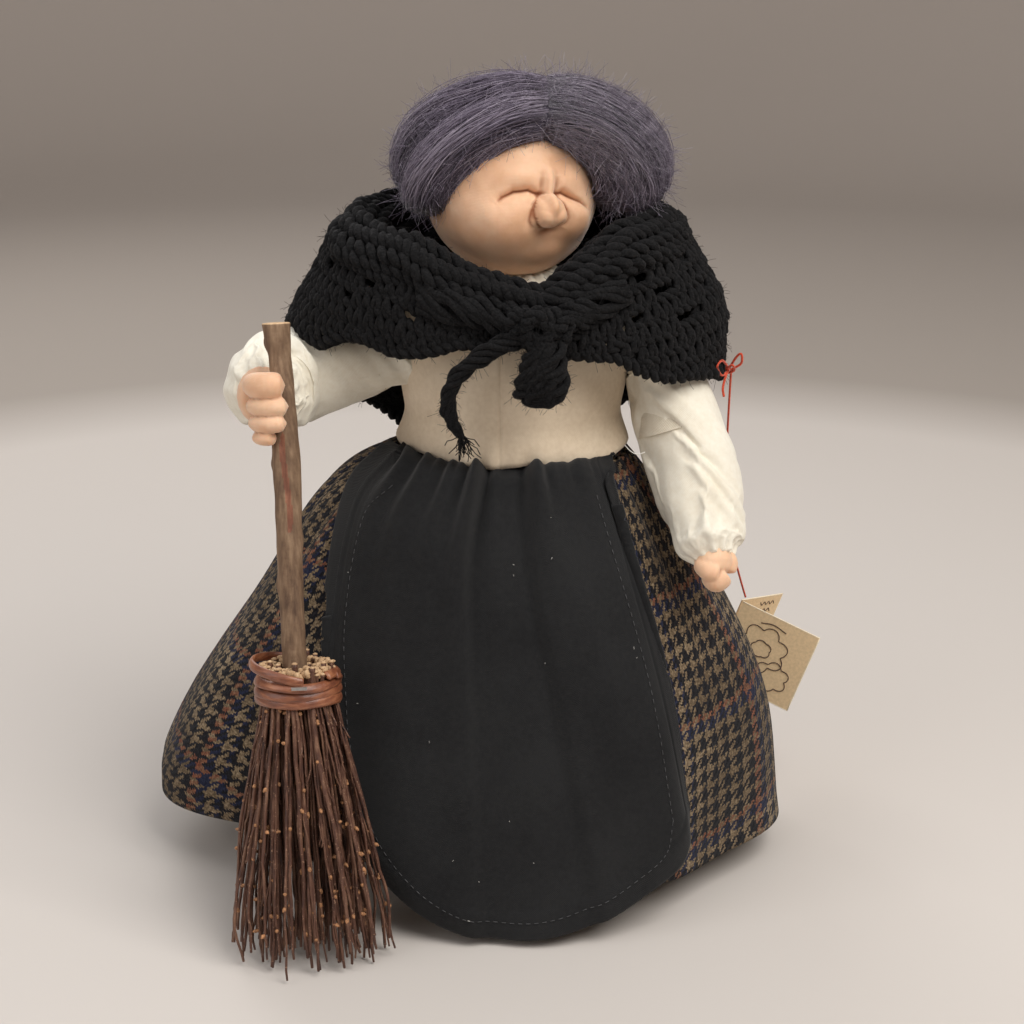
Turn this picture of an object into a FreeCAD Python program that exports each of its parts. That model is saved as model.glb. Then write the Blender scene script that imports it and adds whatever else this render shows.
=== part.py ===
# Standing cloth witch doll with posable wire-armature arms, a twig broom and a folded card tag.
# Millimetres, +Z up. The origin is the centre of the base's underside; the doll faces -Y.
import FreeCAD, Part
import math
import os
import Sketcher

doc = FreeCAD.newDocument("WitchDoll")
Vector = FreeCAD.Vector
UP = Vector(0, 0, 1)

# ---------------------------------------------------------------- driving dimensions
LENGTHS = (
    ("fit_gap", 0.1, "clearance between pieces that stay together"),
    ("move_gap", 0.5, "clearance between pieces that move apart"),
    ("body_yaw", -8.0, "the dressed body's turn about the post, degrees"),
    ("face_yaw", 22.0, "the face's turn about the post, degrees"),
    ("base_radius", 70.0, "wooden base disc"),
    ("base_thickness", 12.0, "wooden base disc"),
    ("base_round", 3.0, "rounded upper edge of the base"),
    ("felt_radius", 66.0, "felt under the base"),
    ("felt_thickness", 1.5, "felt under the base"),
    ("post_radius", 6.0, "dowel through hips, torso and neck"),
    ("post_top", 330.0, "height of the dowel's upper end, inside the head"),
    ("screw_radius", 2.0, "shank of the wood screw"),
    ("screw_length", 34.0, "wood screw, over its head"),
    ("screw_head_radius", 4.4, "countersunk head"),
    ("screw_head_height", 2.4, "countersunk head"),
    ("hip_half_width", 44.0, "stuffed hips"),
    ("hip_half_depth", 33.0, "stuffed hips"),
    ("hip_half_height", 42.0, "stuffed hips"),
    ("hip_height", 162.0, "centre of the stuffed hips"),
    ("skirt_wall", 3.0, "wool tweed with its gathers"),
    ("hem_tilt", 3.0, "the hem rises to the doll's right, degrees"),
    ("petticoat_inset", 8.0, "from the skirt's outside to the petticoat's"),
    ("petticoat_wall", 1.5, "stiffened net"),
    ("apron_wall", 1.6, "linen with its folds"),
    ("apron_reach", 200.0, "depth of the apron's outline prism"),
    ("blouse_wall", 1.6, "muslin bodice"),
    ("band_wall", 1.4, "skirt waistband"),
    ("neck_radius", 12.5, "stuffed neck"),
    ("neck_bottom", 298.5, "stuffed neck"),
    ("neck_length", 19.0, "stuffed neck"),
    ("collar_wall", 2.0, "blouse neckband"),
    ("collar_height", 5.0, "blouse neckband"),
    ("shawl_wall", 8.0, "bulky crochet"),
    ("notch_width", 90.0, "room for an arm under the shawl"),
    ("notch_height", 100.0, "room for an arm under the shawl"),
    ("right_notch_depth", 130.0, "room for the raised right arm"),
    ("left_notch_depth", 85.0, "room for the left arm to swing forward"),
    ("knot_half_width", 14.0, "tied shawl corners"),
    ("knot_half_depth", 8.0, "tied shawl corners"),
    ("knot_half_height", 10.0, "tied shawl corners"),
    ("head_half_width", 40.0, "stuffed head"),
    ("head_half_depth", 40.0, "stuffed head"),
    ("head_half_height", 38.0, "stuffed head"),
    ("skin_wall", 1.2, "nylon skin"),
    ("nose_half_width", 6.5, "stitched nose"),
    ("nose_half_depth", 9.0, "stitched nose"),
    ("nose_half_height", 7.5, "stitched nose"),
    ("nose_reach", 40.0, "nose centre in front of the post"),
    ("hair_half_width", 66.0, "wool hair"),
    ("hair_half_depth", 53.0, "wool hair"),
    ("hair_half_height", 47.5, "wool hair"),
    ("hair_bottom", 337.5, "where the hair ends above the shawl collar"),
    ("hair_part", 15.0, "sideways place of the parting"),
    ("hair_part_gap", 0.6, "width of the parting"),
    ("sleeve_wall", 1.4, "muslin sleeve"),
    ("wire_radius", 1.2, "armature wire"),
    ("arm_start", 3.0, "from a shoulder pivot to the first stuffing"),
    ("right_shoulder_radius", 15.0, "sleeve at the shoulder"),
    ("right_elbow_radius", 24.0, "puffed elbow"),
    ("right_upper_radius", 22.0, "sleeve above the elbow"),
    ("right_wrist_radius", 12.5, "gathered cuff"),
    ("right_cup", 14.5, "sleeve end above the elbow pivot"),
    ("left_shoulder_radius", 13.0, "sleeve at the shoulder"),
    ("left_elbow_radius", 20.5, "elbow"),
    ("left_upper_radius", 22.0, "sleeve above the elbow"),
    ("left_wrist_radius", 9.0, "gathered cuff"),
    ("left_cup", 15.0, "sleeve end above the elbow pivot"),
    ("elbow_step", 3.0, "from the elbow's ball in to the forearm's taper"),
    ("palm_half_width", 11.0, "stuffed palm of the gripping hand"),
    ("palm_half_height", 15.0, "stuffed palm of the gripping hand"),
    ("finger_radius", 4.0, "one stitched finger"),
    ("finger_pitch", 7.6, "finger to finger"),
    ("finger_sweep", 165.0, "how far a finger wraps the handle, degrees"),
    ("hand_half_width", 9.5, "relaxed hand"),
    ("hand_half_length", 8.5, "relaxed hand"),
    ("hand_half_depth", 7.5, "relaxed hand"),
    ("handle_bottom", 64.0, "from the foot, along the handle"),
    ("handle_length", 220.0, "bark stick below its knob"),
    ("handle_radius", 6.7, "bark stick at its lower end"),
    ("handle_tip_radius", 6.3, "bark stick under the knob"),
    ("knob_length", 17.0, "flared top of the stick"),
    ("knob_radius", 8.0, "flared top of the stick"),
    ("twig_radius", 1.5, "one birch twig"),
    ("twig_tip_radius", 0.9, "one birch twig"),
    ("twig_top", 142.0, "from the foot, along the handle"),
    ("twig_knee", 122.0, "where the twigs spread, along the handle"),
    ("twig_ring_step", 3.6, "ring to ring at the binding"),
    ("foot_half_width", 40.0, "spread of the twig tips"),
    ("foot_half_depth", 21.0, "spread of the twig tips"),
    ("binding_radius", 2.0, "split reed"),
    ("binding_ring", 19.8, "centre line of a turn of reed"),
    ("binding_bottom", 127.0, "lowest turn, along the handle"),
    ("binding_pitch", 3.85, "turn to turn"),
    ("staple_width", 7.0, "wire staple"),
    ("staple_depth", 1.0, "wire staple"),
    ("staple_height", 1.5, "wire staple"),
    ("tag_width", 46.0, "one leaf of the card"),
    ("tag_height", 46.0, "one leaf of the card"),
    ("tag_thickness", 0.6, "card"),
    ("tag_front_turn", 22.0, "the front leaf's turn about the fold, degrees"),
    ("tag_back_turn", 50.0, "the back leaf's turn about the fold, degrees"),
    ("tag_tilt", 20.0, "the fold's lean from upright, degrees"),
    ("thread_radius", 0.55, "tag thread"),
)

POINTS = (
    ("right_shoulder", (-60.0, -8.0, 262.0)),
    ("right_elbow", (-108.0, -8.0, 255.0)),
    ("right_wrist", (-117.0, -41.0, 254.0)),
    ("right_palm", (-114.5, -54.5, 254.0)),
    ("left_shoulder", (70.0, -8.0, 266.0)),
    ("left_elbow", (85.0, -22.0, 218.0)),
    ("left_wrist", (91.0, -53.0, 178.0)),
    ("broom_foot", (-94.0, -118.0, 0.0)),
    ("broom_grip", (-104.0, -70.0, 253.0)),
    ("head_centre", (0.0, 0.0, 340.0)),
    ("hair_centre", (6.0, 6.0, 352.0)),
    ("knot_centre", (12.0, -61.0, 291.0)),
    ("tag_fold_line", (110.0, 60.0, 67.0)),
)

# ring: height, sideways shift of its centre, backward shift, half width, half depth
SKIRT_RINGS = (
    ("skirt_waist", (216.0, 0.0, 0.0, 56.0, 43.0)),
    ("skirt_yoke", (200.0, -10.0, 2.0, 78.0, 56.0)),
    ("skirt_hip", (160.0, -12.0, 4.0, 106.0, 72.0)),
    ("skirt_middle", (110.0, -14.0, 5.0, 137.0, 86.0)),
    ("skirt_low", (65.0, -22.0, 6.0, 157.0, 94.0)),
    ("skirt_hem", (26.0, -26.0, 6.0, 166.0, 98.0)),
)
APRON_RINGS = (
    ("apron_waist", (222.0, 0.0, 0.0, 58.0, 47.0)),
    ("apron_yoke", (200.0, -10.0, 2.0, 82.0, 62.0)),
    ("apron_hip", (160.0, -12.0, 4.0, 111.0, 79.0)),
    ("apron_middle", (110.0, -14.0, 5.0, 142.0, 93.0)),
    ("apron_low", (65.0, -22.0, 6.0, 162.0, 105.0)),
    ("apron_edge", (0.0, -26.0, 6.0, 170.0, 123.0)),
)
BAND_RINGS = (
    ("band_low", (216.2, 0.0, 0.0, 56.2, 43.7)),
    ("band_high", (221.6, 0.0, 0.0, 56.2, 43.7)),
)
TORSO_RINGS = (
    ("torso_waist", (217.5, 0.0, 0.0, 54.5, 42.0)),
    ("torso_chest", (252.0, 0.0, 0.0, 54.0, 42.5)),
    ("torso_shoulder", (282.0, 0.0, 2.0, 55.0, 38.0)),
    ("torso_top", (298.0, 0.0, 2.0, 32.0, 26.0)),
)
SHAWL_RINGS = (
    ("shawl_collar", (340.0, 2.0, 9.0, 66.0, 50.0)),
    ("shawl_neck", (318.0, 0.0, 5.0, 80.0, 55.0)),
    ("shawl_shoulder", (292.0, -2.0, 0.0, 98.0, 57.0)),
    ("shawl_arm", (258.0, -1.0, 0.0, 105.0, 59.0)),
    ("shawl_back", (215.0, 0.0, 6.0, 104.0, 66.0)),
    ("shawl_tip", (165.0, 0.0, 10.0, 100.0, 70.0)),
)
RING_FIELDS = ("height", "shift", "back", "half_width", "half_depth")

# outlines, as (across, up) pairs in the plane that each is drawn on
APRON_OUTLINE = (
    (45.0, 226.0), (-58.0, 226.0), (-80.0, 200.0), (-88.0, 150.0), (-86.0, 95.0),
    (-62.0, 38.0), (3.0, 4.0), (62.0, 20.0), (85.0, 55.0), (72.0, 130.0), (50.0, 205.0),
)
SHAWL_LOWER_EDGE = (
    (-95.0, 150.0), (-95.0, 288.0), (-52.0, 281.0), (-30.0, 262.0), (-8.0, 255.0),
    (25.0, 250.0), (45.0, 224.0), (95.0, 172.0), (95.0, 150.0),
)
SHAWL_UPPER_EDGE = (
    (-95.0, 305.0), (-45.0, 306.0), (-14.0, 321.0), (8.0, 336.0), (95.0, 336.0),
    (95.0, 360.0), (-95.0, 360.0),
)
RIGHT_NOTCH_CORNER = (-140.0, -95.0, 191.5)
LEFT_NOTCH_CORNER = (48.0, -95.0, 172.5)
THREAD_ROUTE = (
    (106.5, -6.0, 257.0), (107.0, 2.0, 232.0), (108.5, 15.0, 205.0), (111.5, 31.0, 175.0),
    (118.0, 47.0, 142.0), (127.5, 58.0, 113.0),
)
TWIGS_PER_RING = (7, 12, 17)

sheet = doc.addObject("Spreadsheet::Sheet", "Sizes")
next_row = 1


def enter(alias, number, note):
    """Write one driving dimension into the next row of the sheet."""
    global next_row
    sheet.set(f"A{next_row}", alias)
    sheet.set(f"B{next_row}", str(number))
    sheet.setAlias(f"B{next_row}", alias)
    sheet.set(f"C{next_row}", note)
    next_row += 1


for alias, number, note in LENGTHS:
    enter(alias, number, note)
for alias, place in POINTS:
    for letter, number in zip("xyz", place):
        enter(f"{alias}_{letter}", number, "place")
for rings in (SKIRT_RINGS, APRON_RINGS, BAND_RINGS, TORSO_RINGS, SHAWL_RINGS):
    for alias, numbers in rings:
        for field, number in zip(RING_FIELDS, numbers):
            enter(f"{alias}_{field}", number, "ring")
doc.recompute()


# ---------------------------------------------------------------- helpers
sub_parts = {}


def size(alias):
    """A driving dimension's value."""
    return float(sheet.get(alias))


def point(alias):
    """A driving point's value."""
    return Vector(*(size(f"{alias}_{letter}") for letter in "xyz"))


def cell(expression):
    """An expression over the sheet: a bare alias gets the sheet's name in front."""
    words = expression.split()
    return " ".join(f"Sizes.{word}" if word[0].isalpha() else word for word in words)


def bind(target, **expressions):
    """Bind properties of an object to expressions over the sheet."""
    for name, expression in expressions.items():
        target.setExpression(name, cell(expression))
    return target


def finish(label, shape_object, placement=None):
    """Name a sub-part, place it and remember it for export."""
    shape_object.Label = label
    if placement is not None:
        shape_object.Placement = placement
    sub_parts[label] = shape_object
    return shape_object


def along(start, end):
    """The placement that puts local +Z on the line from start to end."""
    return FreeCAD.Placement(start, FreeCAD.Rotation(UP, end - start))


def turned(yaw):
    """The placement that turns a piece about the post."""
    return FreeCAD.Placement(Vector(0, 0, 0), FreeCAD.Rotation(UP, yaw))


def lifted(height):
    """The placement that raises a piece along local +Z."""
    return FreeCAD.Placement(UP * height, FreeCAD.Rotation())


def at(place):
    """The placement that moves a piece without turning it."""
    return FreeCAD.Placement(place, FreeCAD.Rotation())


def cylinder(name, radius, height, placement=None):
    """A round rod whose sizes are expressions."""
    rod = bind(doc.addObject("Part::Cylinder", name), Radius=radius, Height=height)
    rod.Placement = placement or FreeCAD.Placement()
    return rod


def cone(name, radius_low, radius_high, height, placement=None):
    """A tapered rod whose sizes are expressions."""
    rod = bind(doc.addObject("Part::Cone", name), Radius1=radius_low, Radius2=radius_high, Height=height)
    rod.Placement = placement or FreeCAD.Placement()
    return rod


def ball(name, radius, placement=None):
    """A sphere whose radius is an expression."""
    sphere = bind(doc.addObject("Part::Sphere", name), Radius=radius)
    sphere.Placement = placement or FreeCAD.Placement()
    return sphere


def ellipsoid(name, half_x, half_y, half_z, placement=None):
    """An ellipsoid whose half sizes are expressions."""
    egg = bind(doc.addObject("Part::Ellipsoid", name), Radius1=half_z, Radius2=half_x, Radius3=half_y)
    egg.Angle1 = -90
    egg.Angle2 = 90
    egg.Placement = placement or FreeCAD.Placement()
    return egg


def box(name, length, width, height, placement=None):
    """A block whose sizes are expressions."""
    block = bind(doc.addObject("Part::Box", name), Length=length, Width=width, Height=height)
    block.Placement = placement or FreeCAD.Placement()
    return block


def cut(name, base, tool):
    """The first piece with the second taken out of it."""
    result = doc.addObject("Part::Cut", name)
    result.Base = base
    result.Tool = tool
    return result


def fuse(name, pieces):
    """Several pieces joined into one."""
    result = doc.addObject("Part::MultiFuse", name)
    result.Shapes = pieces
    return result


def origin_plane(body, role):
    """One of a body's own origin planes."""
    return next(plane for plane in body.Origin.OriginFeatures if plane.Role == role)


def sketch_on(body, role, name):
    """A new sketch attached to one of the body's own origin planes."""
    sketch = body.newObject("Sketcher::SketchObject", name)
    sketch.AttachmentSupport = [(origin_plane(body, role), "")]
    sketch.MapMode = "FlatFace"
    return sketch


def circle_sketch(body, name, radius):
    """A circle about the body's own Z axis."""
    sketch = sketch_on(body, "XY_Plane", name)
    circle = sketch.addGeometry(Part.Circle(Vector(0, 0, 0), UP, 1.0), False)
    sketch.addConstraint(Sketcher.Constraint("Coincident", circle, 3, -1, 1))
    index = sketch.addConstraint(Sketcher.Constraint("Radius", circle, 1.0))
    sketch.setExpression(f"Constraints[{index}]", cell(radius))
    return sketch


def oval_sketch(body, ring, grow):
    """A ring of a garment: an ellipse, enlarged all round by the expression grow."""
    sketch = sketch_on(body, "XY_Plane", f"{body.Name}_{ring}")
    centre = Vector(size(f"{ring}_shift"), size(f"{ring}_back"), 0)
    half_width = size(f"{ring}_half_width")
    half_depth = size(f"{ring}_half_depth")
    oval = Part.Ellipse(centre + Vector(half_width, 0, 0), centre + Vector(0, half_depth, 0), centre)
    edge = sketch.addGeometry(oval, False)
    sketch.exposeInternalGeometry(edge)
    sketch.addConstraint(Sketcher.Constraint("Horizontal", edge + 1))
    dimensions = (
        (Sketcher.Constraint("DistanceX", -1, 1, edge, 3, centre.x), f"{ring}_shift"),
        (Sketcher.Constraint("DistanceY", -1, 1, edge, 3, centre.y), f"{ring}_back"),
        (Sketcher.Constraint("Distance", edge + 1, 2 * half_width), f"2 * ( {ring}_half_width {grow} )"),
        (Sketcher.Constraint("Distance", edge + 2, 2 * half_depth), f"2 * ( {ring}_half_depth {grow} )"),
    )
    for constraint, expression in dimensions:
        index = sketch.addConstraint(constraint)
        sketch.setExpression(f"Constraints[{index}]", cell(expression))
    sketch.setExpression("AttachmentOffset.Base.z", cell(f"{ring}_height"))
    return sketch


def outline_sketch(body, role, name, corners, rounded=False):
    """A closed outline: straight between its corners, or one smooth curve past the first two."""
    sketch = sketch_on(body, role, name)
    places = [Vector(across, up, 0) for across, up in corners]
    if rounded:
        curve = Part.BSplineCurve()
        curve.interpolate(places[1:] + places[:1])
        sketch.addGeometry(curve, False)
        places = places[:2]
        sketch.addGeometry(Part.LineSegment(places[0], places[1]), False)
        return sketch
    for start, end in zip(places, places[1:] + places[:1]):
        sketch.addGeometry(Part.LineSegment(start, end), False)
    return sketch


def loft(body, kind, name, rings, grow):
    """A loft through a garment's rings, added to or taken from the body."""
    sketches = [oval_sketch(body, ring, grow) for ring, _ in rings]
    if rings[-1][0] == "skirt_hem":
        sketches[-1].setExpression("AttachmentOffset.Rotation.Angle", cell("hem_tilt"))
        sketches[-1].setExpression("AttachmentOffset.Rotation.Axis.x", "0")
        sketches[-1].setExpression("AttachmentOffset.Rotation.Axis.y", "1")
        sketches[-1].setExpression("AttachmentOffset.Rotation.Axis.z", "0")
    feature = body.newObject(kind, name)
    feature.Profile = sketches[0]
    feature.Sections = sketches[1:]
    return feature


def bell(label, rings, outer, inner=None):
    """A lofted solid, hollow and open at both ends when inner is given."""
    body = doc.addObject("PartDesign::Body", label)
    loft(body, "PartDesign::AdditiveLoft", f"{label}_outside", rings, outer)
    if inner is not None:
        loft(body, "PartDesign::SubtractiveLoft", f"{label}_inside", rings, inner)
    return body


def pocket(body, role, name, corners):
    """Cut a closed outline right through the body, both ways from its plane."""
    sketch = outline_sketch(body, role, f"{name}_outline", corners)
    feature = body.newObject("PartDesign::Pocket", name)
    feature.Profile = sketch
    feature.Type = 1
    feature.Midplane = True
    return feature


# ---------------------------------------------------------------- stand
def make_stand():
    """Base disc, felt, screw and dowel."""
    base = doc.addObject("PartDesign::Body", "base_disc")
    disc = base.newObject("PartDesign::Pad", "base_pad")
    disc.Profile = circle_sketch(base, "base_circle", "base_radius")
    bind(disc, Length="base_thickness")
    bore = base.newObject("PartDesign::Pocket", "screw_bore")
    bore.Profile = circle_sketch(base, "bore_circle", "screw_radius + fit_gap")
    bore.Type = 1
    bore.Reversed = True
    doc.recompute()
    edges = bore.Shape.Edges
    thickness = size("base_thickness")
    rim = [f"Edge{i}" for i, edge in enumerate(edges, 1)
           if edge.BoundBox.ZMin > thickness - 0.01 and edge.BoundBox.XMax > size("base_radius") - 0.01]
    rounding = base.newObject("PartDesign::Fillet", "base_rounding")
    rounding.Base = (bore, rim)
    bind(rounding, Radius="base_round")
    doc.recompute()
    mouth = [f"Edge{i}" for i, edge in enumerate(rounding.Shape.Edges, 1)
             if edge.BoundBox.ZMax < 0.01 and edge.BoundBox.XMax < size("base_radius") / 2]
    countersink = base.newObject("PartDesign::Chamfer", "countersink")
    countersink.Base = (rounding, mouth)
    bind(countersink, Size="screw_head_height + fit_gap")
    finish("base_disc", base, lifted(size("felt_thickness")))

    finish("base_felt", cylinder("felt", "felt_radius", "felt_thickness"))

    seat = size("felt_thickness")
    head = cone("screw_head", "screw_head_radius", "screw_radius", "screw_head_height")
    shank = cylinder("screw_shank", "screw_radius", "screw_length")
    finish("base_screw", fuse("screw", [head, shank]), lifted(seat))

    foot = seat + size("base_thickness")
    dowel = cylinder("dowel", "post_radius", "post_top - felt_thickness - base_thickness", lifted(foot))
    pilot = cylinder("pilot_hole", "screw_radius + fit_gap", "screw_length + fit_gap", lifted(seat))
    finish("body_post", cut("post", dowel, pilot))


def post_hole(name, clearance="fit_gap"):
    """The hole that the dowel needs through a stuffed piece."""
    return cylinder(name, f"post_radius + {clearance}", "post_top + move_gap")


# ---------------------------------------------------------------- dressed body
def make_clothes():
    """Hips, torso and neck with the petticoat, skirt, waistband, bodice, neckband and apron."""
    yaw = turned(size("body_yaw"))
    hips = ellipsoid("hip_egg", "hip_half_width", "hip_half_depth", "hip_half_height", lifted(size("hip_height")))
    finish("hip_form", cut("hips", hips, post_hole("hip_bore")), yaw)

    finish("skirt", bell("skirt", SKIRT_RINGS, "", "- skirt_wall"), yaw)
    inset = "- petticoat_inset"
    net = bell("petticoat", SKIRT_RINGS[1:], inset, f"{inset} - petticoat_wall")
    finish("petticoat", net, yaw)
    finish("skirt_waistband", bell("skirt_waistband", BAND_RINGS, "", "- band_wall"), yaw)

    wire = point("left_shoulder")
    bar_start = Vector(point("right_shoulder").x + size("fit_gap"), wire.y, wire.z - 3)
    bar_end = Vector(wire.x - size("left_shoulder_radius") / 2 - size("move_gap"), wire.y, wire.z - 3)
    bar_place = along(bar_start, bar_end)
    bar_length = "left_shoulder_x - right_shoulder_x - left_shoulder_radius"
    bar = cylinder("shoulder_bar", "wire_radius", bar_length, bar_place)
    finish("shoulder_wire", bar)
    sleeve_bore = cylinder("shoulder_bore", "wire_radius + fit_gap", "4 * left_shoulder_x")
    sleeve_bore.Placement = along(Vector(-2 * wire.x, wire.y, wire.z - 3), Vector(0, wire.y, wire.z - 3))

    core = bell("torso_core", TORSO_RINGS, "- blouse_wall - fit_gap")
    core.Placement = yaw
    stump = ellipsoid("waist_stump", "torso_waist_half_width - 4", "torso_waist_half_depth - 4", "9")
    stump.Placement = lifted(size("torso_waist_height"))
    trunk = fuse("trunk", [core, stump])
    bored = cut("bored_trunk", trunk, post_hole("torso_bore"))
    finish("torso_form", cut("torso", bored, sleeve_bore))

    shell = bell("bodice_shell", TORSO_RINGS, "", "- blouse_wall")
    shell.Placement = yaw
    finish("blouse_bodice", cut("bodice", shell, sleeve_bore))

    neck = cylinder("neck_rod", "neck_radius", "neck_length", lifted(size("neck_bottom")))
    finish("neck_form", cut("neck", neck, post_hole("neck_bore")))
    bottom = lifted(size("neck_bottom"))
    band = cylinder("collar_outside", "neck_radius + fit_gap + collar_wall", "collar_height", bottom)
    hollow = cylinder("collar_inside", "neck_radius + fit_gap", "collar_height", bottom)
    finish("blouse_collar", cut("collar", band, hollow))

    apron_shell = bell("apron_shell", APRON_RINGS, "", "- apron_wall")
    apron_shell.Placement = yaw
    prism = doc.addObject("PartDesign::Body", "apron_prism")
    outline = outline_sketch(prism, "XZ_Plane", "apron_outline", APRON_OUTLINE, rounded=True)
    pad = prism.newObject("PartDesign::Pad", "apron_pad")
    pad.Profile = outline
    bind(pad, Length="apron_reach")
    front = doc.addObject("Part::Common", "apron_front")
    front.Base = apron_shell
    front.Tool = prism
    finish("apron", front)


def make_shawl():
    """The crocheted shawl: a cape open at the neck and at the right arm, with its tied corners."""
    cape = bell("shawl_cape", SHAWL_RINGS, "", "- shawl_wall")
    pocket(cape, "YZ_Plane", "lower_edge", SHAWL_LOWER_EDGE)
    pocket(cape, "YZ_Plane", "upper_edge", SHAWL_UPPER_EDGE)
    right_notch = box("right_notch", "notch_width", "right_notch_depth", "notch_height")
    right_notch.Placement = at(Vector(*RIGHT_NOTCH_CORNER))
    left_notch = box("left_notch", "notch_width", "left_notch_depth", "notch_height")
    left_notch.Placement = at(Vector(*LEFT_NOTCH_CORNER))
    opened = cut("opened_cape", cape, fuse("arm_notches", [right_notch, left_notch]))
    knot_at = point("knot_centre")
    knot = ellipsoid("knot", "knot_half_width", "knot_half_depth", "knot_half_height", at(knot_at))
    narrow = ellipsoid("narrow_end", "5", "4", "29")
    narrow.Placement = along(knot_at + Vector(-27, 5, -31), knot_at + Vector(-12, 1, 0))
    broad = ellipsoid("broad_end", "9", "5", "21")
    broad.Placement = along(knot_at + Vector(2, 2, -18), knot_at + Vector(4, 0, 0))
    finish("shawl", fuse("tied_shawl", [opened, knot, narrow, broad]))


# ---------------------------------------------------------------- head
def make_head():
    """Nylon skin over stuffing, and the two locks of wool hair that meet at the parting."""
    centre = at(point("head_centre"))
    facing = turned(size("face_yaw"))
    socket = cylinder("neck_socket", "neck_radius + move_gap", "neck_bottom + neck_length + move_gap")
    bore = post_hole("head_bore", "move_gap")

    def head_egg(name, grow):
        return ellipsoid(name, f"head_half_width {grow}", f"head_half_depth {grow}",
                         f"head_half_height {grow}", centre)

    nose_at = Vector(0, -size("nose_reach"), point("head_centre").z + 3)
    nose = ellipsoid("nose", "nose_half_width", "nose_half_depth", "nose_half_height", at(nose_at))
    face = fuse("face", [head_egg("face_egg", ""), nose])
    hollow = fuse("head_hollow", [head_egg("hollow_egg", "- skin_wall"), socket])
    finish("head_skin", cut("skin", face, hollow), facing)

    filling = head_egg("filling_egg", "- skin_wall - fit_gap")
    passage = fuse("head_passage", [socket, bore])
    finish("head_stuffing", cut("filling", filling, passage), facing)

    wool = ellipsoid("wool", "hair_half_width", "hair_half_depth", "hair_half_height", at(point("hair_centre")))
    scalp = head_egg("scalp", "+ fit_gap")
    below = box("below_hair", "300", "300", "100", at(Vector(-150, -150, size("hair_bottom") - 100)))
    face_reach = ellipsoid("face_opening", "35", "60", "42")
    face_reach.Placement = FreeCAD.Placement(Vector(14, -52, 332), FreeCAD.Rotation(UP, size("face_yaw")))
    removed = fuse("not_hair", [scalp, below, face_reach])
    for side, start in (("right", -200.0), ("left", size("hair_part") + size("hair_part_gap") / 2)):
        end = size("hair_part") - size("hair_part_gap") / 2 if side == "right" else 200.0
        half = doc.addObject("Part::Box", f"{side}_side")
        half.Length = end - start
        half.Width = 300
        half.Height = 200
        half.Placement = at(Vector(start, -150, 250))
        piece = doc.addObject("Part::Common", f"{side}_wool")
        piece.Base = wool
        piece.Tool = half
        finish(f"hair_{side}_lock", cut(f"{side}_lock", piece, removed))


# ---------------------------------------------------------------- arms
def make_upper_arm(side):
    """Sleeve, stuffing and wire from the shoulder pivot to the elbow's cup."""
    shoulder = point(f"{side}_shoulder")
    elbow = point(f"{side}_elbow")
    length = (elbow - shoulder).Length
    place = along(shoulder, elbow)
    start = lifted(size("arm_start"))
    reach = f"{length} - arm_start - {side}_cup"

    def taper(name, shrink):
        return cone(name, f"{side}_shoulder_radius {shrink}", f"{side}_upper_radius {shrink}", reach, start)

    cup = ball(f"{side}_elbow_cup", f"{side}_elbow_radius + move_gap", lifted(length))
    shell = cut(f"{side}_upper_tube", taper(f"{side}_upper_out", ""), taper(f"{side}_upper_in", "- sleeve_wall"))
    finish(f"{side}_upper_sleeve", cut(f"{side}_upper_shell", shell, cup), place)

    wire_length = f"{length} - arm_start - {side}_elbow_radius - 2 * move_gap"
    bore = cylinder(f"{side}_upper_bore", "wire_radius + fit_gap", str(length))
    core = taper(f"{side}_upper_core", "- sleeve_wall - fit_gap")
    cored = cut(f"{side}_upper_cored", core, bore)
    finish(f"{side}_upper_stuffing", cut(f"{side}_upper_fill", cored, cup), place)
    wire = cylinder(f"{side}_upper_rod", "wire_radius", wire_length, start)
    finish(f"{side}_upper_wire", fuse(f"{side}_upper_wire_end", [wire, ball(
        f"{side}_wire_tip", "wire_radius", start)]), place)


def forearm_shape(side, name, grow, length):
    """A ball at the elbow that tapers to the wrist."""
    elbow_ball = ball(f"{name}_ball", f"{side}_elbow_radius {grow}")
    taper = cone(f"{name}_taper", f"{side}_elbow_radius - elbow_step {grow}",
                 f"{side}_wrist_radius {grow}", str(length))
    return fuse(name, [elbow_ball, taper])


def make_forearm(side):
    """Sleeve, stuffing and wire from the elbow to the wrist."""
    elbow = point(f"{side}_elbow")
    wrist = point(f"{side}_wrist")
    length = (wrist - elbow).Length
    place = along(elbow, wrist)
    outside = forearm_shape(side, f"{side}_forearm_out", "", length)
    inside = forearm_shape(side, f"{side}_forearm_in", "- sleeve_wall", length)
    finish(f"{side}_forearm_sleeve", cut(f"{side}_forearm_shell", outside, inside), place)
    filling = forearm_shape(side, f"{side}_forearm_fill", "- sleeve_wall - fit_gap", length)
    bore = cylinder(f"{side}_forearm_bore", "wire_radius + fit_gap", str(length))
    finish(f"{side}_forearm_stuffing", cut(f"{side}_forearm_cored", filling, bore), place)
    finish(f"{side}_forearm_wire", cylinder(f"{side}_forearm_rod", "wire_radius", str(length)), place)


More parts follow.
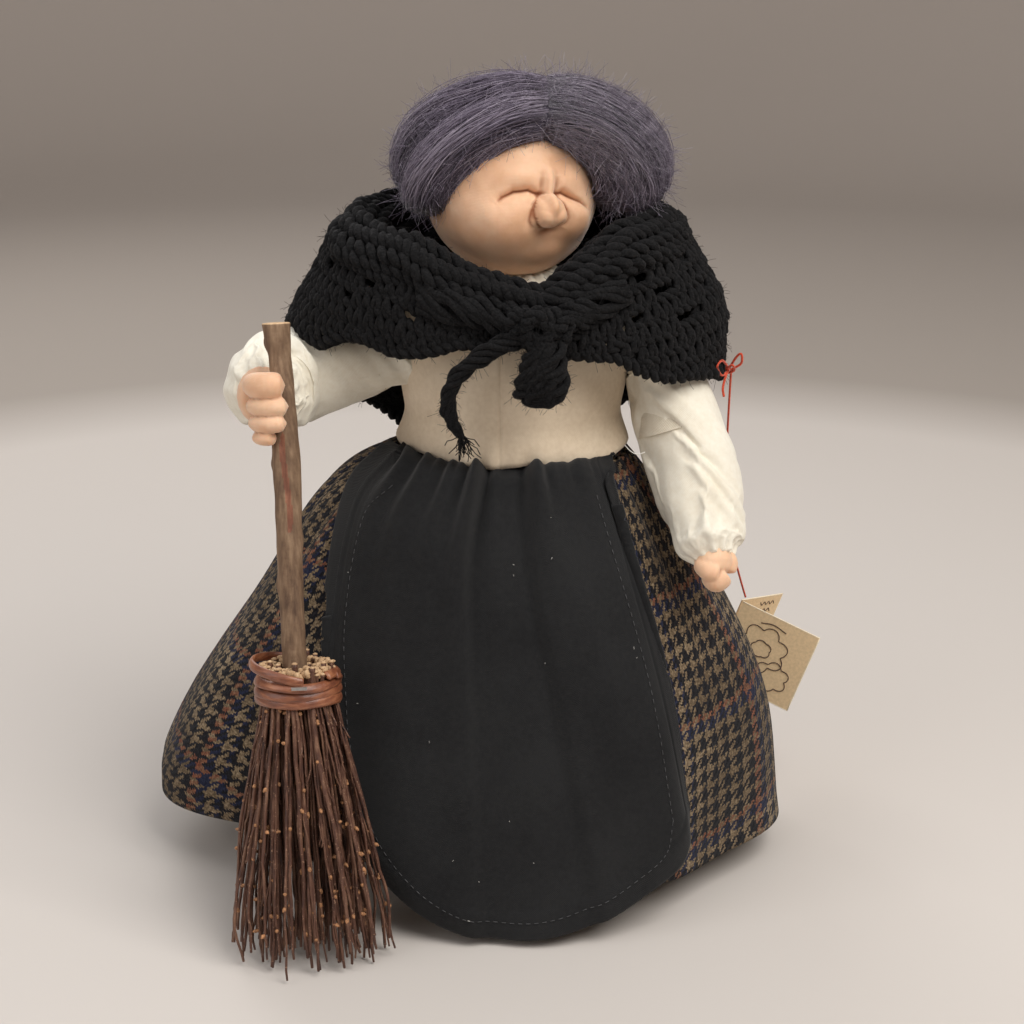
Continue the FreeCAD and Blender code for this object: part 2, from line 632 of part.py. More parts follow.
def make_right_hand():
    """The gripping hand: a palm behind the handle and four fingers that wrap it."""
    grip = point("broom_grip")
    axis = (grip - point("broom_foot")).normalize()
    handle_frame = FreeCAD.Rotation(UP, axis)
    elbow = point("right_elbow")
    wrist = point("right_wrist")
    palm_egg = ellipsoid("palm_egg", "palm_half_width", "palm_half_width", "palm_half_height")
    palm_egg.Placement = at(point("right_palm"))
    cuff = cylinder("cuff_clearance", "3 * palm_half_width", "60")
    cuff.Placement = along(wrist + (wrist - elbow).normalize() * size("fit_gap"), elbow)
    bore = cylinder("grip_bore", "handle_radius + move_gap", "60")
    bore.Placement = FreeCAD.Placement(grip - axis * 30, handle_frame)
    pieces = [cut("right_palm", cut("bored_palm", palm_egg, bore), cuff)]
    for number in range(4):
        finger = bind(doc.addObject("Part::Torus", f"right_finger_{number}"),
                      Radius1="handle_radius + move_gap + finger_radius + fit_gap",
                      Radius2="finger_radius", Angle3="finger_sweep")
        rise = (number - 1.5) * size("finger_pitch")
        turn = FreeCAD.Rotation(UP, 90)
        finger.Placement = FreeCAD.Placement(grip + axis * rise, handle_frame.multiply(turn))
        pieces.append(finger)
    finish("right_hand", fuse("gripping_hand", pieces))


def make_left_hand():
    """The relaxed hand: a flat palm with three curled finger tips."""
    wrist = point("left_wrist")
    length = size("hand_half_length")
    place = along(wrist, wrist + (wrist - point("left_elbow")))
    palm = ellipsoid("left_palm", "hand_half_width", "hand_half_depth", "hand_half_length", lifted(length))
    pieces = [palm]
    for number in range(3):
        across = (number - 1) * size("finger_pitch") * 0.8
        tip_at = FreeCAD.Placement(Vector(across, -2.0, 1.75 * length), FreeCAD.Rotation())
        pieces.append(ellipsoid(f"left_finger_{number}", "finger_radius", "finger_radius", "6", tip_at))
    rod = cylinder("left_hand_trim", "left_elbow_radius", "10", lifted(-10))
    finish("left_hand", cut("relaxed_hand", fuse("open_hand", pieces), rod), place)


# ---------------------------------------------------------------- broom
def make_broom():
    """Bark stick, spreading twigs, reed binding and its staple."""
    foot = point("broom_foot")
    frame = along(foot, point("broom_grip"))
    stick = cone("stick", "handle_radius", "handle_tip_radius", "handle_length", lifted(size("handle_bottom")))
    knob_at = lifted(size("handle_bottom") + size("handle_length"))
    knob = cone("stick_knob", "handle_tip_radius", "knob_radius", "knob_length", knob_at)
    finish("broom_handle", fuse("handle", [stick, knob]), frame)

    twigs = []
    knee_radius = size("twig_radius")
    first_ring = size("handle_radius") + knee_radius + 0.8
    reach = first_ring + (len(TWIGS_PER_RING) - 1) * size("twig_ring_step")
    for ring, count in enumerate(TWIGS_PER_RING):
        radius = first_ring + ring * size("twig_ring_step")
        for number in range(count):
            angle = 2 * math.pi * (number + 0.5 * ring) / count
            outward = Vector(math.cos(angle), math.sin(angle), 0)
            knee = frame.multVec(outward * radius + UP * size("twig_knee"))
            top_height = size("twig_top") + 2.5 * math.sin(5 * angle + ring)
            top = frame.multVec(outward * radius + UP * top_height)
            spread = (radius / reach) * (1.0 + 0.06 * math.sin(7 * angle))
            tip = foot + Vector(size("foot_half_width") * spread * outward.x,
                                size("foot_half_depth") * spread * outward.y,
                                2.0 + 1.5 * math.cos(3 * angle + ring))
            upper = Part.makeCylinder(knee_radius, (top - knee).Length, knee, top - knee)
            bend = Part.makeSphere(knee_radius, knee)
            lower = Part.makeCone(knee_radius, size("twig_tip_radius"), (tip - knee).Length, knee, tip - knee)
            twigs.append(upper.fuse([bend, lower]))
    bundle = doc.addObject("Part::Feature", "twig_bundle")
    bundle.Shape = Part.makeCompound(twigs)
    finish("broom_twigs", bundle)

    turns = []
    for number in range(4):
        turn = bind(doc.addObject("Part::Torus", f"reed_turn_{number}"),
                    Radius1="binding_ring", Radius2="binding_radius")
        turn.Placement = lifted(size("binding_bottom") + number * size("binding_pitch"))
        turns.append(turn)
    finish("broom_binding", fuse("binding", turns), frame)

    staple = box("staple", "staple_width", "staple_depth", "staple_height")
    outside = size("binding_ring") + size("binding_radius") + size("fit_gap")
    local = Vector(0, -outside - size("staple_depth"), size("binding_bottom") + 2 * size("binding_pitch"))
    staple_place = frame.multiply(FreeCAD.Placement(local, FreeCAD.Rotation()))
    finish("broom_staple", staple, staple_place)


# ---------------------------------------------------------------- tag
def tangent_path(route):
    """Straight runs joined by the largest arcs that they allow; prints each arc's radius."""
    places = [Vector(*place) for place in route]
    edges = []
    radii = []
    start = places[0]
    for before, corner, after in zip(places, places[1:], places[2:]):
        incoming = (corner - before).normalize()
        outgoing = (after - corner).normalize()
        half_turn = incoming.getAngle(outgoing) / 2
        setback = 0.45 * min((corner - before).Length, (after - corner).Length)
        radii.append(setback / math.tan(half_turn))
        arc_start = corner - incoming * setback
        arc_end = corner + outgoing * setback
        bisector = (outgoing - incoming).normalize()
        middle = corner + bisector * (radii[-1] / math.cos(half_turn) - radii[-1])
        edges.append(Part.LineSegment(start, arc_start).toShape())
        edges.append(Part.Arc(arc_start, middle, arc_end).toShape())
        start = arc_end
    edges.append(Part.LineSegment(start, places[-1]).toShape())
    print("thread radii:", [round(radius, 1) for radius in radii])
    return Part.Wire(edges)


def make_tag():
    """The folded card on its thread."""
    path = tangent_path(THREAD_ROUTE)
    start = Vector(*THREAD_ROUTE[0])
    heading = Vector(*THREAD_ROUTE[1]) - start
    section = Part.Wire(Part.Circle(start, heading, size("thread_radius")).toShape())
    thread = doc.addObject("Part::Feature", "thread")
    thread.Shape = path.makePipeShell([section], True, False)
    expected = math.pi * size("thread_radius") ** 2 * path.Length
    print("thread length", round(path.Length, 2), "volume ratio", round(thread.Shape.Volume / expected, 4))
    finish("tag_thread", thread)

    fold = point("tag_fold_line")
    lean = FreeCAD.Placement(fold, FreeCAD.Rotation(Vector(0, 1, 0), size("tag_tilt")))
    thickness = size("tag_thickness")
    inner_face = size("fit_gap") / 2
    leaves = (("front", -size("tag_front_turn"), -inner_face - thickness),
              ("back", size("tag_back_turn"), inner_face))
    for leaf, turn, depth in leaves:
        card = box(f"{leaf}_leaf", "tag_width", "tag_thickness", "tag_height")
        clear_of_fold = at(Vector(thickness + size("move_gap"), depth, 0))
        opened = FreeCAD.Placement(Vector(0, 0, 0), FreeCAD.Rotation(UP, turn))
        finish(f"tag_{leaf}_leaf", card, lean.multiply(opened).multiply(clear_of_fold))


# ---------------------------------------------------------------- build, check and write
make_stand()
make_clothes()
make_shawl()
make_head()
for side in ("right", "left"):
    make_upper_arm(side)
    make_forearm(side)
make_right_hand()
make_left_hand()
make_broom()
make_tag()
doc.recompute()

for item in doc.Objects:
    if "Invalid" in item.State or "Error" in item.State:
        raise RuntimeError(f"{item.Name} failed: {item.State}")
for label, item in sub_parts.items():
    if item.Shape.isNull() or not item.Shape.isValid():
        raise RuntimeError(f"{label} has no valid shape")

os.makedirs("parts", exist_ok=True)
for label, item in sub_parts.items():
    item.Shape.exportStep(f"parts/{label}.step")
    bounds = item.Shape.BoundBox
    print(f"{label:24s} solids {len(item.Shape.Solids):3d} volume {item.Shape.Volume:10.0f}",
          f"x {bounds.XMin:6.1f} {bounds.XMax:6.1f} y {bounds.YMin:6.1f} {bounds.YMax:6.1f}",
          f"z {bounds.ZMin:6.1f} {bounds.ZMax:6.1f}")
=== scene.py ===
"""Standing cloth witch doll: the looks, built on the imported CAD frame.

Lengths in the code are millimetres, meshes are in metres.
"""
import math

import bpy
import numpy as np
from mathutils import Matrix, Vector
from mathutils.bvhtree import BVHTree


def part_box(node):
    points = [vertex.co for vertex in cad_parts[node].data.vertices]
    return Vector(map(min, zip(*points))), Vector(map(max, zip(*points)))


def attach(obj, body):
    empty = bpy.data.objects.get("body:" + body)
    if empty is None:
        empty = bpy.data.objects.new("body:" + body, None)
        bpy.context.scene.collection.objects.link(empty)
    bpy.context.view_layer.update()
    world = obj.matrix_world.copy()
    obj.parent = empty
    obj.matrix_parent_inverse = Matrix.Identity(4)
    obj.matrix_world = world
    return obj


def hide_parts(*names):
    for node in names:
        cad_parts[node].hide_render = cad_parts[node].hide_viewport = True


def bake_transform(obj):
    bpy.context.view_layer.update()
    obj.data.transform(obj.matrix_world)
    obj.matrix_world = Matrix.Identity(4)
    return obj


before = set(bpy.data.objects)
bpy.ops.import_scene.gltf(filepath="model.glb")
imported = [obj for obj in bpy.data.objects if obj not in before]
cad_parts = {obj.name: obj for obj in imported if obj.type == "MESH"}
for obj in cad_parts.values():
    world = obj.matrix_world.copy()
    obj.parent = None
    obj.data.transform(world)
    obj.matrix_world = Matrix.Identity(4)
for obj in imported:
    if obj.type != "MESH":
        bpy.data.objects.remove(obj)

MM = 0.001
TAU = 2 * math.pi
RAY_START = -300.0
GOLDEN_TURN = 2.39996
SKIRT_TOP = 221.0
STRAND_POINTS = 14 * 3
FUZZ_POINTS = 7 * 3
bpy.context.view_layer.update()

# ---------------------------------------------------------------- camera
camera = bpy.data.objects.new("camera", bpy.data.cameras.new("camera"))
bpy.context.scene.collection.objects.link(camera)
camera.data.lens = 62.93
camera.data.sensor_width = 36.0
camera.data.clip_start, camera.data.clip_end = 0.05, 20.0
AIM = Vector((0.0, 0.0, 0.182))
DISTANCE, RISE = 0.900, math.radians(19.0)
camera.location = AIM + Vector((0.0, -DISTANCE * math.cos(RISE), DISTANCE * math.sin(RISE)))
camera.rotation_euler = (AIM - camera.location).to_track_quat("-Z", "Y").to_euler()
bpy.context.scene.camera = camera

# the red thread that carries the card: control points in metres, from the shawl down to the card
THREAD_ROUTE = (
    (0.1065, -0.006, 0.257), (0.107, 0.002, 0.232), (0.1085, 0.015, 0.205),
    (0.1115, 0.031, 0.175), (0.118, 0.047, 0.142), (0.1275, 0.058, 0.113),
)


# ---------------------------------------------------------------- small tools
def noise(points, scale, seed=0.0):
    """Smooth, repeatable noise from -1 to 1 at each point: a sum of turned sine waves."""
    p = np.asarray(points, float) / scale + seed * 7.31
    x, y, z = p[..., 0], p[..., 1], p[..., 2]
    value = (np.sin(1.7 * x + 1.1 * y - 0.6 * z + 1.3) + np.sin(-1.2 * x + 1.9 * y + 0.8 * z + 4.1)
             + np.sin(0.9 * x - 0.7 * y + 2.1 * z + 2.2) + 0.6 * np.sin(3.1 * x + 2.3 * y + 2.7 * z + 0.4)
             + 0.6 * np.sin(-2.6 * x + 3.3 * y - 2.2 * z + 5.2))
    return value / 4.2


def smooth(low, high, value):
    """0 below low, 1 above high, and a smooth step between."""
    t = np.clip((value - low) / (high - low), 0, 1)
    return t * t * (3 - 2 * t)


def unit(vectors):
    """Vectors with length 1."""
    return vectors / np.maximum(np.linalg.norm(vectors, axis=-1, keepdims=True), 1e-9)


def grid_faces(rows, columns, wrap=False):
    """Quads of a grid of points, and each corner's (row, column) for its cloth coordinates."""
    last = columns if wrap else columns - 1
    i, j = np.meshgrid(np.arange(rows - 1), np.arange(last), indexing="ij")
    i, j = i.ravel(), j.ravel()
    corner_rows = np.stack([i, i, i + 1, i + 1], 1)
    corner_columns = np.stack([j, j + 1, j + 1, j], 1)
    return corner_rows * columns + corner_columns % columns, corner_rows, corner_columns


def build(name, points, faces, materials, uv=None, face_material=None, attributes=None):
    """A mesh object from points in millimetres and faces with one number of corners."""
    mesh = bpy.data.meshes.new(name)
    points = np.asarray(points, np.float32).reshape(-1, 3) * MM
    faces = np.asarray(faces, np.int32)
    count, corners = faces.shape
    mesh.vertices.add(len(points))
    mesh.vertices.foreach_set("co", points.ravel())
    mesh.loops.add(count * corners)
    mesh.loops.foreach_set("vertex_index", faces.ravel())
    mesh.polygons.add(count)
    mesh.polygons.foreach_set("loop_start", np.arange(0, count * corners, corners, dtype=np.int32))
    mesh.polygons.foreach_set("use_smooth", np.ones(count, bool))
    if uv is not None:
        layer = mesh.uv_layers.new(name="cloth")
        layer.data.foreach_set("uv", np.asarray(uv, np.float32).ravel())
    if not isinstance(materials, (list, tuple)):
        materials = [materials]
    for material in materials:
        mesh.materials.append(material)
    if face_material is not None:
        mesh.polygons.foreach_set("material_index", np.asarray(face_material, np.int32))
    for label, values in (attributes or {}).items():
        mesh.attributes.new(label, "FLOAT", "POINT").data.foreach_set("value", np.asarray(values, np.float32).ravel())
    mesh.update(calc_edges=True)
    mesh.validate()
    piece = bpy.data.objects.new(name, mesh)
    bpy.context.scene.collection.objects.link(piece)
    return piece


def tubes(paths, radii, sides=6, flat=1.0, reference=(0.13, 0.31, 0.94)):
    """Closed tubes along paths (tubes x points x 3). Returns points and faces; flat squeezes the section."""
    paths = np.asarray(paths, float)
    if paths.ndim == 2:
        paths = paths[None]
    count, length, _ = paths.shape
    radii = np.broadcast_to(np.asarray(radii, float),
                            (count, length)) if np.ndim(radii) else np.full((count, length), float(radii))
    heading = unit(np.gradient(paths, axis=1))
    first = paths[:, :1] - heading[:, :1] * radii[:, :1, None] * 0.4
    last = paths[:, -1:] + heading[:, -1:] * radii[:, -1:, None] * 0.4
    paths = np.concatenate([first, paths, last], 1)
    radii = np.concatenate([radii[:, :1] * 0.25, radii, radii[:, -1:] * 0.25], 1)
    heading = np.concatenate([heading[:, :1], heading, heading[:, -1:]], 1)
    length += 2
    side = np.cross(heading[:, 0], np.asarray(reference, float))
    sides_along = []
    for k in range(length):
        side = unit(side - (side * heading[:, k]).sum(-1, keepdims=True) * heading[:, k])
        sides_along.append(side)
    across = np.stack(sides_along, 1)
    over = np.cross(heading, across)
    angle = np.arange(sides) / sides * TAU
    ring = (np.cos(angle)[:, None] * across[:, :, None] + flat * np.sin(angle)[:, None] * over[:, :, None])
    points = paths[:, :, None] + ring * radii[:, :, None, None]
    faces, _, _ = grid_faces(length, sides, wrap=True)
    offsets = np.arange(count) * length * sides
    return points.reshape(-1, 3), (faces[None] + offsets[:, None, None]).reshape(-1, 4)


def joined(parts):
    """Several (points, faces) as one."""
    points, faces, start = [], [], 0
    for some_points, some_faces in parts:
        points.append(np.asarray(some_points, float).reshape(-1, 3))
        faces.append(np.asarray(some_faces) + start)
        start += len(points[-1])
    return np.concatenate(points), np.concatenate(faces)


def curve_through(places, count):
    """A smooth curve (Catmull-Rom) through places, as evenly numbered points."""
    places = np.asarray(places, float)
    padded = np.concatenate([[2 * places[0] - places[1]], places, [2 * places[-1] - places[-2]]])
    t = np.linspace(0, len(places) - 1 - 1e-6, count)
    i = t.astype(int)
    f = (t - i)[:, None]
    a, b, c, d = padded[i], padded[i + 1], padded[i + 2], padded[i + 3]
    return 0.5 * (2 * b + (c - a) * f + (2 * a - 5 * b + 4 * c - d) * f ** 2
                  + (3 * b - a - 3 * c + d) * f ** 3)


def cad_tree(node):
    """A CAD node's surface in millimetres, for casting rays at."""
    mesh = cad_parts[node].data
    return BVHTree.FromPolygons([v.co * 1000 for v in mesh.vertices],
                                [tuple(p.vertices) for p in mesh.polygons])


def tree_of(points, faces):
    """A made surface, for casting rays at."""
    return BVHTree.FromPolygons([tuple(p) for p in np.asarray(points).reshape(-1, 3)],
                                [tuple(f) for f in faces])


def from_front(tree, x, z):
    """Where a ray from the viewer's side first meets a surface at (x, z), or None."""
    return tree.ray_cast(Vector((x, RAY_START, z)), Vector((0, 1, 0)))[0]


def radial(a, t):
    """Outward directions round the post for a grid of turns a and levels t."""
    return np.stack([np.sin(a) + 0 * t, -np.cos(a) + 0 * t, 0 * a + 0 * t], -1)


def cloth_length(points):
    """How far each place of a grid lies down its column, along the cloth."""
    steps = np.linalg.norm(np.diff(points, axis=0), axis=2)
    return np.concatenate([np.zeros((1, points.shape[1])), np.cumsum(steps, 0)])


def box_mm(node):
    """A CAD node's lowest and highest corner in millimetres."""
    low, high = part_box(node)
    return np.array(low) * 1000, np.array(high) * 1000


def spread_on(points, faces, count, seed):
    """Evenly spread random places on a mesh, with their normals."""
    rng = np.random.default_rng(seed)
    a, b, c = points[faces[:, 0]], points[faces[:, 1]], points[faces[:, 2]]
    normal = np.cross(b - a, c - a)
    area = np.linalg.norm(normal, axis=1)
    pick = rng.choice(len(faces), count, p=area / area.sum())
    u, v = rng.random((2, count, 1))
    return a[pick] + (b[pick] - a[pick]) * u + (c[pick] - a[pick]) * v * (1 - u), unit(normal[pick]), rng


def fibres(points, faces, count, length, radius, seed, lift=0.6, droop=0.25):
    """Short curled fibres standing off a surface."""
    start, normal, rng = spread_on(points, faces, count, seed)
    sway = unit(rng.normal(size=(count, 3)))
    direction = unit(normal * lift + sway * 0.9)
    bend = unit(rng.normal(size=(count, 3)))
    long = length * rng.uniform(0.45, 1.25, (count, 1, 1))
    t = np.linspace(0, 1, 5)[None, :, None]
    path = start[:, None] + direction[:, None] * t * long + bend[:, None] * (t ** 2) * long * 0.55
    path[..., 2] -= (t[..., 0] ** 2) * long[..., 0] * droop
    return tubes(path, radius, sides=3)


# ---------------------------------------------------------------- materials
class Recipe:
    """A material's nodes, written shortly."""

    def __init__(self, name, colour=None, rough=0.8, **inputs):
        self.material = bpy.data.materials.new(name)
        self.material.use_nodes = True
        self.nodes, self.links = self.material.node_tree.nodes, self.material.node_tree.links
        self.shader = self.nodes["Principled BSDF"]
        self.put("Roughness", rough)
        if colour is not None:
            self.put("Base Color", colour)
        for key, value in inputs.items():
            self.put(key.replace("_", " "), value)

    def join(self, value, socket):
        """A link, or a constant."""
        if isinstance(value, bpy.types.NodeSocket):
            self.links.new(value, socket)
        elif socket.type == "RGBA" and len(value) == 3:
            socket.default_value = (*value, 1.0)
        else:
            socket.default_value = value

    def put(self, name, value):
        """Set one input of the main shader."""
        self.join(value, self.shader.inputs[name])

    def node(self, kind, output=0, settings=None, **inputs):
        """A node with its inputs; returns one of its outputs."""
        made = self.nodes.new(kind)
        for key, value in (settings or {}).items():
            setattr(made, key, value)
        for key, value in inputs.items():
            place = int(key[1:]) if key[0] == "i" and key[1:].isdigit() else key.replace("_", " ")
            self.join(value, made.inputs[place])
        return made.outputs[output]

    def math(self, operation, a, b=0.0, clamp=False):
        """One maths node; its socket is returned."""
        return self.node("ShaderNodeMath", i0=a, i1=b,
                         settings={"operation": operation, "use_clamp": clamp})

    def plus(self, a, b):
        """The sum of two sockets or numbers."""
        return self.math("ADD", a, b)

    def times(self, a, b):
        """The product of two sockets or numbers."""
        return self.math("MULTIPLY", a, b)

    def noise(self, scale, detail=3.0, rough=0.55, at=None, **more):
        """A noise texture, laid out by the given place where there is one."""
        inputs = {"Scale": scale, "Detail": detail, "Roughness": rough, **more}
        if at is not None:
            inputs["Vector"] = at
        return self.node("ShaderNodeTexNoise", **inputs)

    def mix(self, share, a, b, blend="MIX"):
        """Blend two colours by a share."""
        made = self.nodes.new("ShaderNodeMix")
        made.data_type = "RGBA"
        made.blend_type = blend
        self.join(share, made.inputs[0])
        self.join(a, made.inputs[6])
        self.join(b, made.inputs[7])
        return made.outputs[2]

    def ramp(self, value, *stops):
        """A colour ramp of (position, colour) stops."""
        made = self.nodes.new("ShaderNodeValToRGB")
        elements = made.color_ramp.elements
        while len(elements) < len(stops):
            elements.new(0.5)
        for element, (position, colour) in zip(elements, stops):
            element.position = position
            element.color = (*colour, 1.0)
        self.join(value, made.inputs[0])
        return made.outputs[0]

    def attribute(self, name):
        """A value stored on the mesh, read by its name."""
        return self.node("ShaderNodeAttribute", output=2, settings={"attribute_name": name})

    def uv(self):
        """The cloth's own coordinates, in metres: across and along."""
        split = self.nodes.new("ShaderNodeSeparateXYZ")
        self.links.new(self.node("ShaderNodeUVMap", settings={"uv_map": "cloth"}), split.inputs[0])
        return split.outputs[0], split.outputs[1]

    def place(self, output="Object"):
        """Object coordinates: metres in the row frame, fixed to the piece."""
        return self.nodes.new("ShaderNodeTexCoord").outputs[output]

    def bump(self, height, strength=0.5, distance=0.001, normal=None):
        """Turn a height into a bump on the main shader."""
        inputs = {"Strength": strength, "Distance": distance, "Height": height}
        if normal is not None:
            inputs["Normal"] = normal
        result = self.node("ShaderNodeBump", **inputs)
        self.put("Normal", result)
        return result


def woven(name, colour, dark, thread, blotch=18.0, rough=0.9, sheen=0.25, bump=0.35, uv=True):
    """A plain woven cloth with slightly uneven threads and tone, and painted shade in the dips between threads."""
    recipe = Recipe(name, rough=rough, Sheen_Weight=sheen, Sheen_Roughness=0.5, Specular_IOR_Level=0.25)
    place = recipe.place()
    if uv:
        across, along = recipe.uv()
    else:
        split = recipe.nodes.new("ShaderNodeSeparateXYZ")
        recipe.links.new(place, split.inputs[0])
        across, along = split.outputs[0], split.outputs[2]
    a = recipe.math("SINE", recipe.times(across, math.pi / thread))
    b = recipe.math("SINE", recipe.times(along, math.pi / thread))
    height = recipe.plus(recipe.times(recipe.times(a, b), 0.5), 0.5)
    slub = recipe.noise(420.0, 2.0, at=place)
    patch = recipe.noise(blotch, 4.0, at=place)
    tone = recipe.plus(recipe.times(patch, 0.75), recipe.times(slub, 0.35))
    shade = recipe.ramp(tone, (0.38, dark), (0.66, colour))
    # painted shade: the dips between threads are darkened
    shade = recipe.mix(recipe.times(recipe.math("SUBTRACT", 1.0, height), 0.22), shade, dark)
    recipe.put("Base Color", shade)
    recipe.bump(recipe.plus(height, recipe.times(slub, 0.9)), bump, thread * 0.6)
    return recipe.material


def tweed_material():
    """Wool houndstooth from its real weave, with a rust and navy overcheck.

    The weave is a 2/2 twill of four dark and four light threads both ways.
    """
    recipe = Recipe("tweed", rough=0.95, Sheen_Weight=0.06, Sheen_Roughness=0.6, Specular_IOR_Level=0.1)
    place = recipe.place()
    across, along = recipe.uv()
    wander = recipe.noise(60.0, 2.0, at=place)
    thread = 0.00112
    fray = recipe.noise(1400.0, 2.0, at=place)
    wobble = recipe.times(recipe.math("SUBTRACT", fray, 0.5), 1.5)
    drift = recipe.times(recipe.math("SUBTRACT", wander, 0.5), 2.2)
    warp = recipe.plus(recipe.plus(recipe.math("DIVIDE", across, thread), wobble), drift)
    weft = recipe.plus(recipe.plus(recipe.math("DIVIDE", along, thread), wobble), drift)
    column, row = recipe.math("FLOOR", warp), recipe.math("FLOOR", weft)

    def repeats(value, period, below):
        """1 in the first stretch of every period, else 0."""
        return recipe.math("LESS_THAN", recipe.math("FLOORED_MODULO", value, period), below)

    warp_dark, weft_dark = repeats(column, 8.0, 4.0), repeats(row, 8.0, 5.0)
    over = repeats(recipe.plus(column, row), 4.0, 2.0)
    dark = recipe.plus(recipe.times(over, warp_dark),
                       recipe.times(recipe.math("SUBTRACT", 1.0, over), weft_dark))
    warp_line, weft_line = repeats(column, 56.0, 12.0), repeats(row, 56.0, 12.0)
    line = recipe.plus(recipe.times(over, warp_line),
                       recipe.times(recipe.math("SUBTRACT", 1.0, over), weft_line))
    warp_navy = repeats(recipe.math("SUBTRACT", column, 8.0), 56.0, 10.0)
    weft_navy = repeats(recipe.math("SUBTRACT", row, 8.0), 56.0, 8.0)
    navy = recipe.plus(recipe.times(over, warp_navy),
                       recipe.times(recipe.math("SUBTRACT", 1.0, over), weft_navy))
    heather = recipe.noise(900.0, 3.0, at=place)
    patch = recipe.noise(22.0, 3.0, at=place)
    tan = recipe.ramp(recipe.plus(recipe.times(heather, 0.6), recipe.times(patch, 0.4)),
                      (0.32, (0.050, 0.034, 0.020)), (0.50, (0.145, 0.103, 0.062)),
                      (0.68, (0.38, 0.29, 0.185)))
    rust = recipe.ramp(heather, (0.3, (0.09, 0.022, 0.012)), (0.7, (0.25, 0.080, 0.045)))
    light = recipe.mix(recipe.times(line, recipe.times(recipe.noise(260.0, 2.0, at=place), 1.25)), tan,
                       rust)
    black = recipe.ramp(heather, (0.3, (0.004, 0.004, 0.006)), (0.75, (0.018, 0.017, 0.020)))
    blue = recipe.ramp(heather, (0.3, (0.007, 0.009, 0.022)), (0.75, (0.024, 0.030, 0.070)))
    deep = recipe.mix(recipe.times(navy, 0.85), black, blue)
    recipe.put("Base Color", recipe.mix(dark, light, deep))
    rib = recipe.math("SINE", recipe.times(recipe.plus(warp, weft), math.pi / 2))
    height = recipe.plus(recipe.times(rib, 0.25), recipe.times(fray, 1.1))
    recipe.bump(height, 0.55, 0.0009)
    return recipe.material


def skin_material():
    """Peach nylon knit stretched over stuffing, with painted shade darkening the stitched hollows and the lower face,
    over a slight warm tint.
    """
    recipe = Recipe("skin", rough=0.62, Subsurface_Weight=0.22, Subsurface_Scale=0.004, Sheen_Weight=0.25,
                    Sheen_Roughness=0.4, Specular_IOR_Level=0.3)
    recipe.put("Subsurface Radius", (1.0, 0.45, 0.25))
    place = recipe.place()
    patch = recipe.noise(55.0, 4.0, at=place)
    colour = recipe.ramp(patch, (0.30, (0.70, 0.41, 0.245)), (0.52, (0.81, 0.52, 0.34)),
                         (0.75, (0.87, 0.61, 0.42)))
    # painted shade: the stitched hollows are darkened towards red-brown
    crease_shade = recipe.math("MULTIPLY", recipe.attribute("crease_shade"), 1.0, clamp=True)
    colour = recipe.mix(crease_shade, colour, (0.30, 0.105, 0.045))
    # a slight warm tint everywhere, and painted shade that darkens the lower face and the band under the cheeks
    warm_tint_and_shade = recipe.math("MULTIPLY", recipe.attribute("warm_tint_and_shade"), 1.0, clamp=True)
    colour = recipe.mix(recipe.times(warm_tint_and_shade, 0.55), colour, (0.52, 0.25, 0.12))
    recipe.put("Base Color", colour)
    knit = recipe.node("ShaderNodeTexWave", output=1,
                       settings={"wave_type": "BANDS", "bands_direction": "Z"}, Scale=520.0, Distortion=1.5,
                       Detail=1.0, Vector=place)
    grain = recipe.noise(1500.0, 2.0, at=place)
    lumps = recipe.noise(130.0, 3.0, at=place)
    height = recipe.plus(recipe.times(knit, 0.10), recipe.times(grain, 0.22))
    recipe.bump(recipe.plus(height, recipe.times(lumps, 1.3)), 0.30, 0.0007)
    return recipe.material


def wood_material(name, pale, mid, dark, grain=(60.0, 60.0, 6.0), rough=0.75, specks=None, bump=0.7,
                  gloss=None):
    """Bark or wood with streaks along Z, blotches and a rough surface."""
    recipe = Recipe(name, rough=rough)
    place = recipe.place()
    stretched = recipe.node("ShaderNodeMapping", Vector=place, Scale=grain)
    streak = recipe.noise(8.0, 6.0, at=stretched)
    blotch = recipe.noise(70.0, 5.0, at=place)
    tone = recipe.plus(recipe.times(streak, 0.65), recipe.times(blotch, 0.45))
    colour = recipe.ramp(tone, (0.36, dark), (0.54, mid), (0.74, pale))
    if specks:
        spots = recipe.noise(900.0, 1.0, at=place)
        colour = recipe.mix(recipe.math("GREATER_THAN", spots, 0.68), colour, specks)
    recipe.put("Base Color", colour)
    height = recipe.plus(recipe.times(streak, 1.0), recipe.times(recipe.noise(700.0, 3.0, at=place), 0.6))
    recipe.bump(height, bump, 0.0008)
    if gloss is not None:
        recipe.put("Coat Weight", gloss)
        recipe.put("Coat Roughness", 0.3)
    return recipe.material


def hair_material(name, dark, mid, pale):
    """Wool in fine strands; the attribute strand shifts the tone of each."""
    recipe = Recipe(name, rough=0.55, Sheen_Weight=0.45, Sheen_Roughness=0.35, Specular_IOR_Level=0.35)
    place = recipe.place()
    tone = recipe.plus(recipe.times(recipe.attribute("strand"), 0.75),
                       recipe.times(recipe.noise(45.0, 4.0, at=place), 0.35))
    recipe.put("Base Color", recipe.ramp(tone, (0.10, dark), (0.50, mid), (0.92, pale)))
    recipe.bump(recipe.noise(900.0, 2.0, at=place), 0.3, 0.0004)
    return recipe.material


def yarn_material():
    """Fuzzy black yarn; its two-ply twist is in the rope strands, not the material."""
    recipe = Recipe("crochet", rough=0.9, Sheen_Weight=0.045, Sheen_Roughness=0.5, Specular_IOR_Level=0.2)
    place = recipe.place()
    fluff = recipe.noise(900.0, 3.0, at=place)
    recipe.put("Base Color", recipe.ramp(fluff, (0.35, (0.0022, 0.0022, 0.0026)),
                                         (0.75, (0.0125, 0.012, 0.0125))))
    recipe.put("Sheen Tint", (0.55, 0.52, 0.55, 1.0))
    recipe.bump(recipe.plus(fluff, recipe.times(recipe.noise(320.0, 2.0, at=place), 1.4)), 0.8, 0.0010)
    return recipe.material


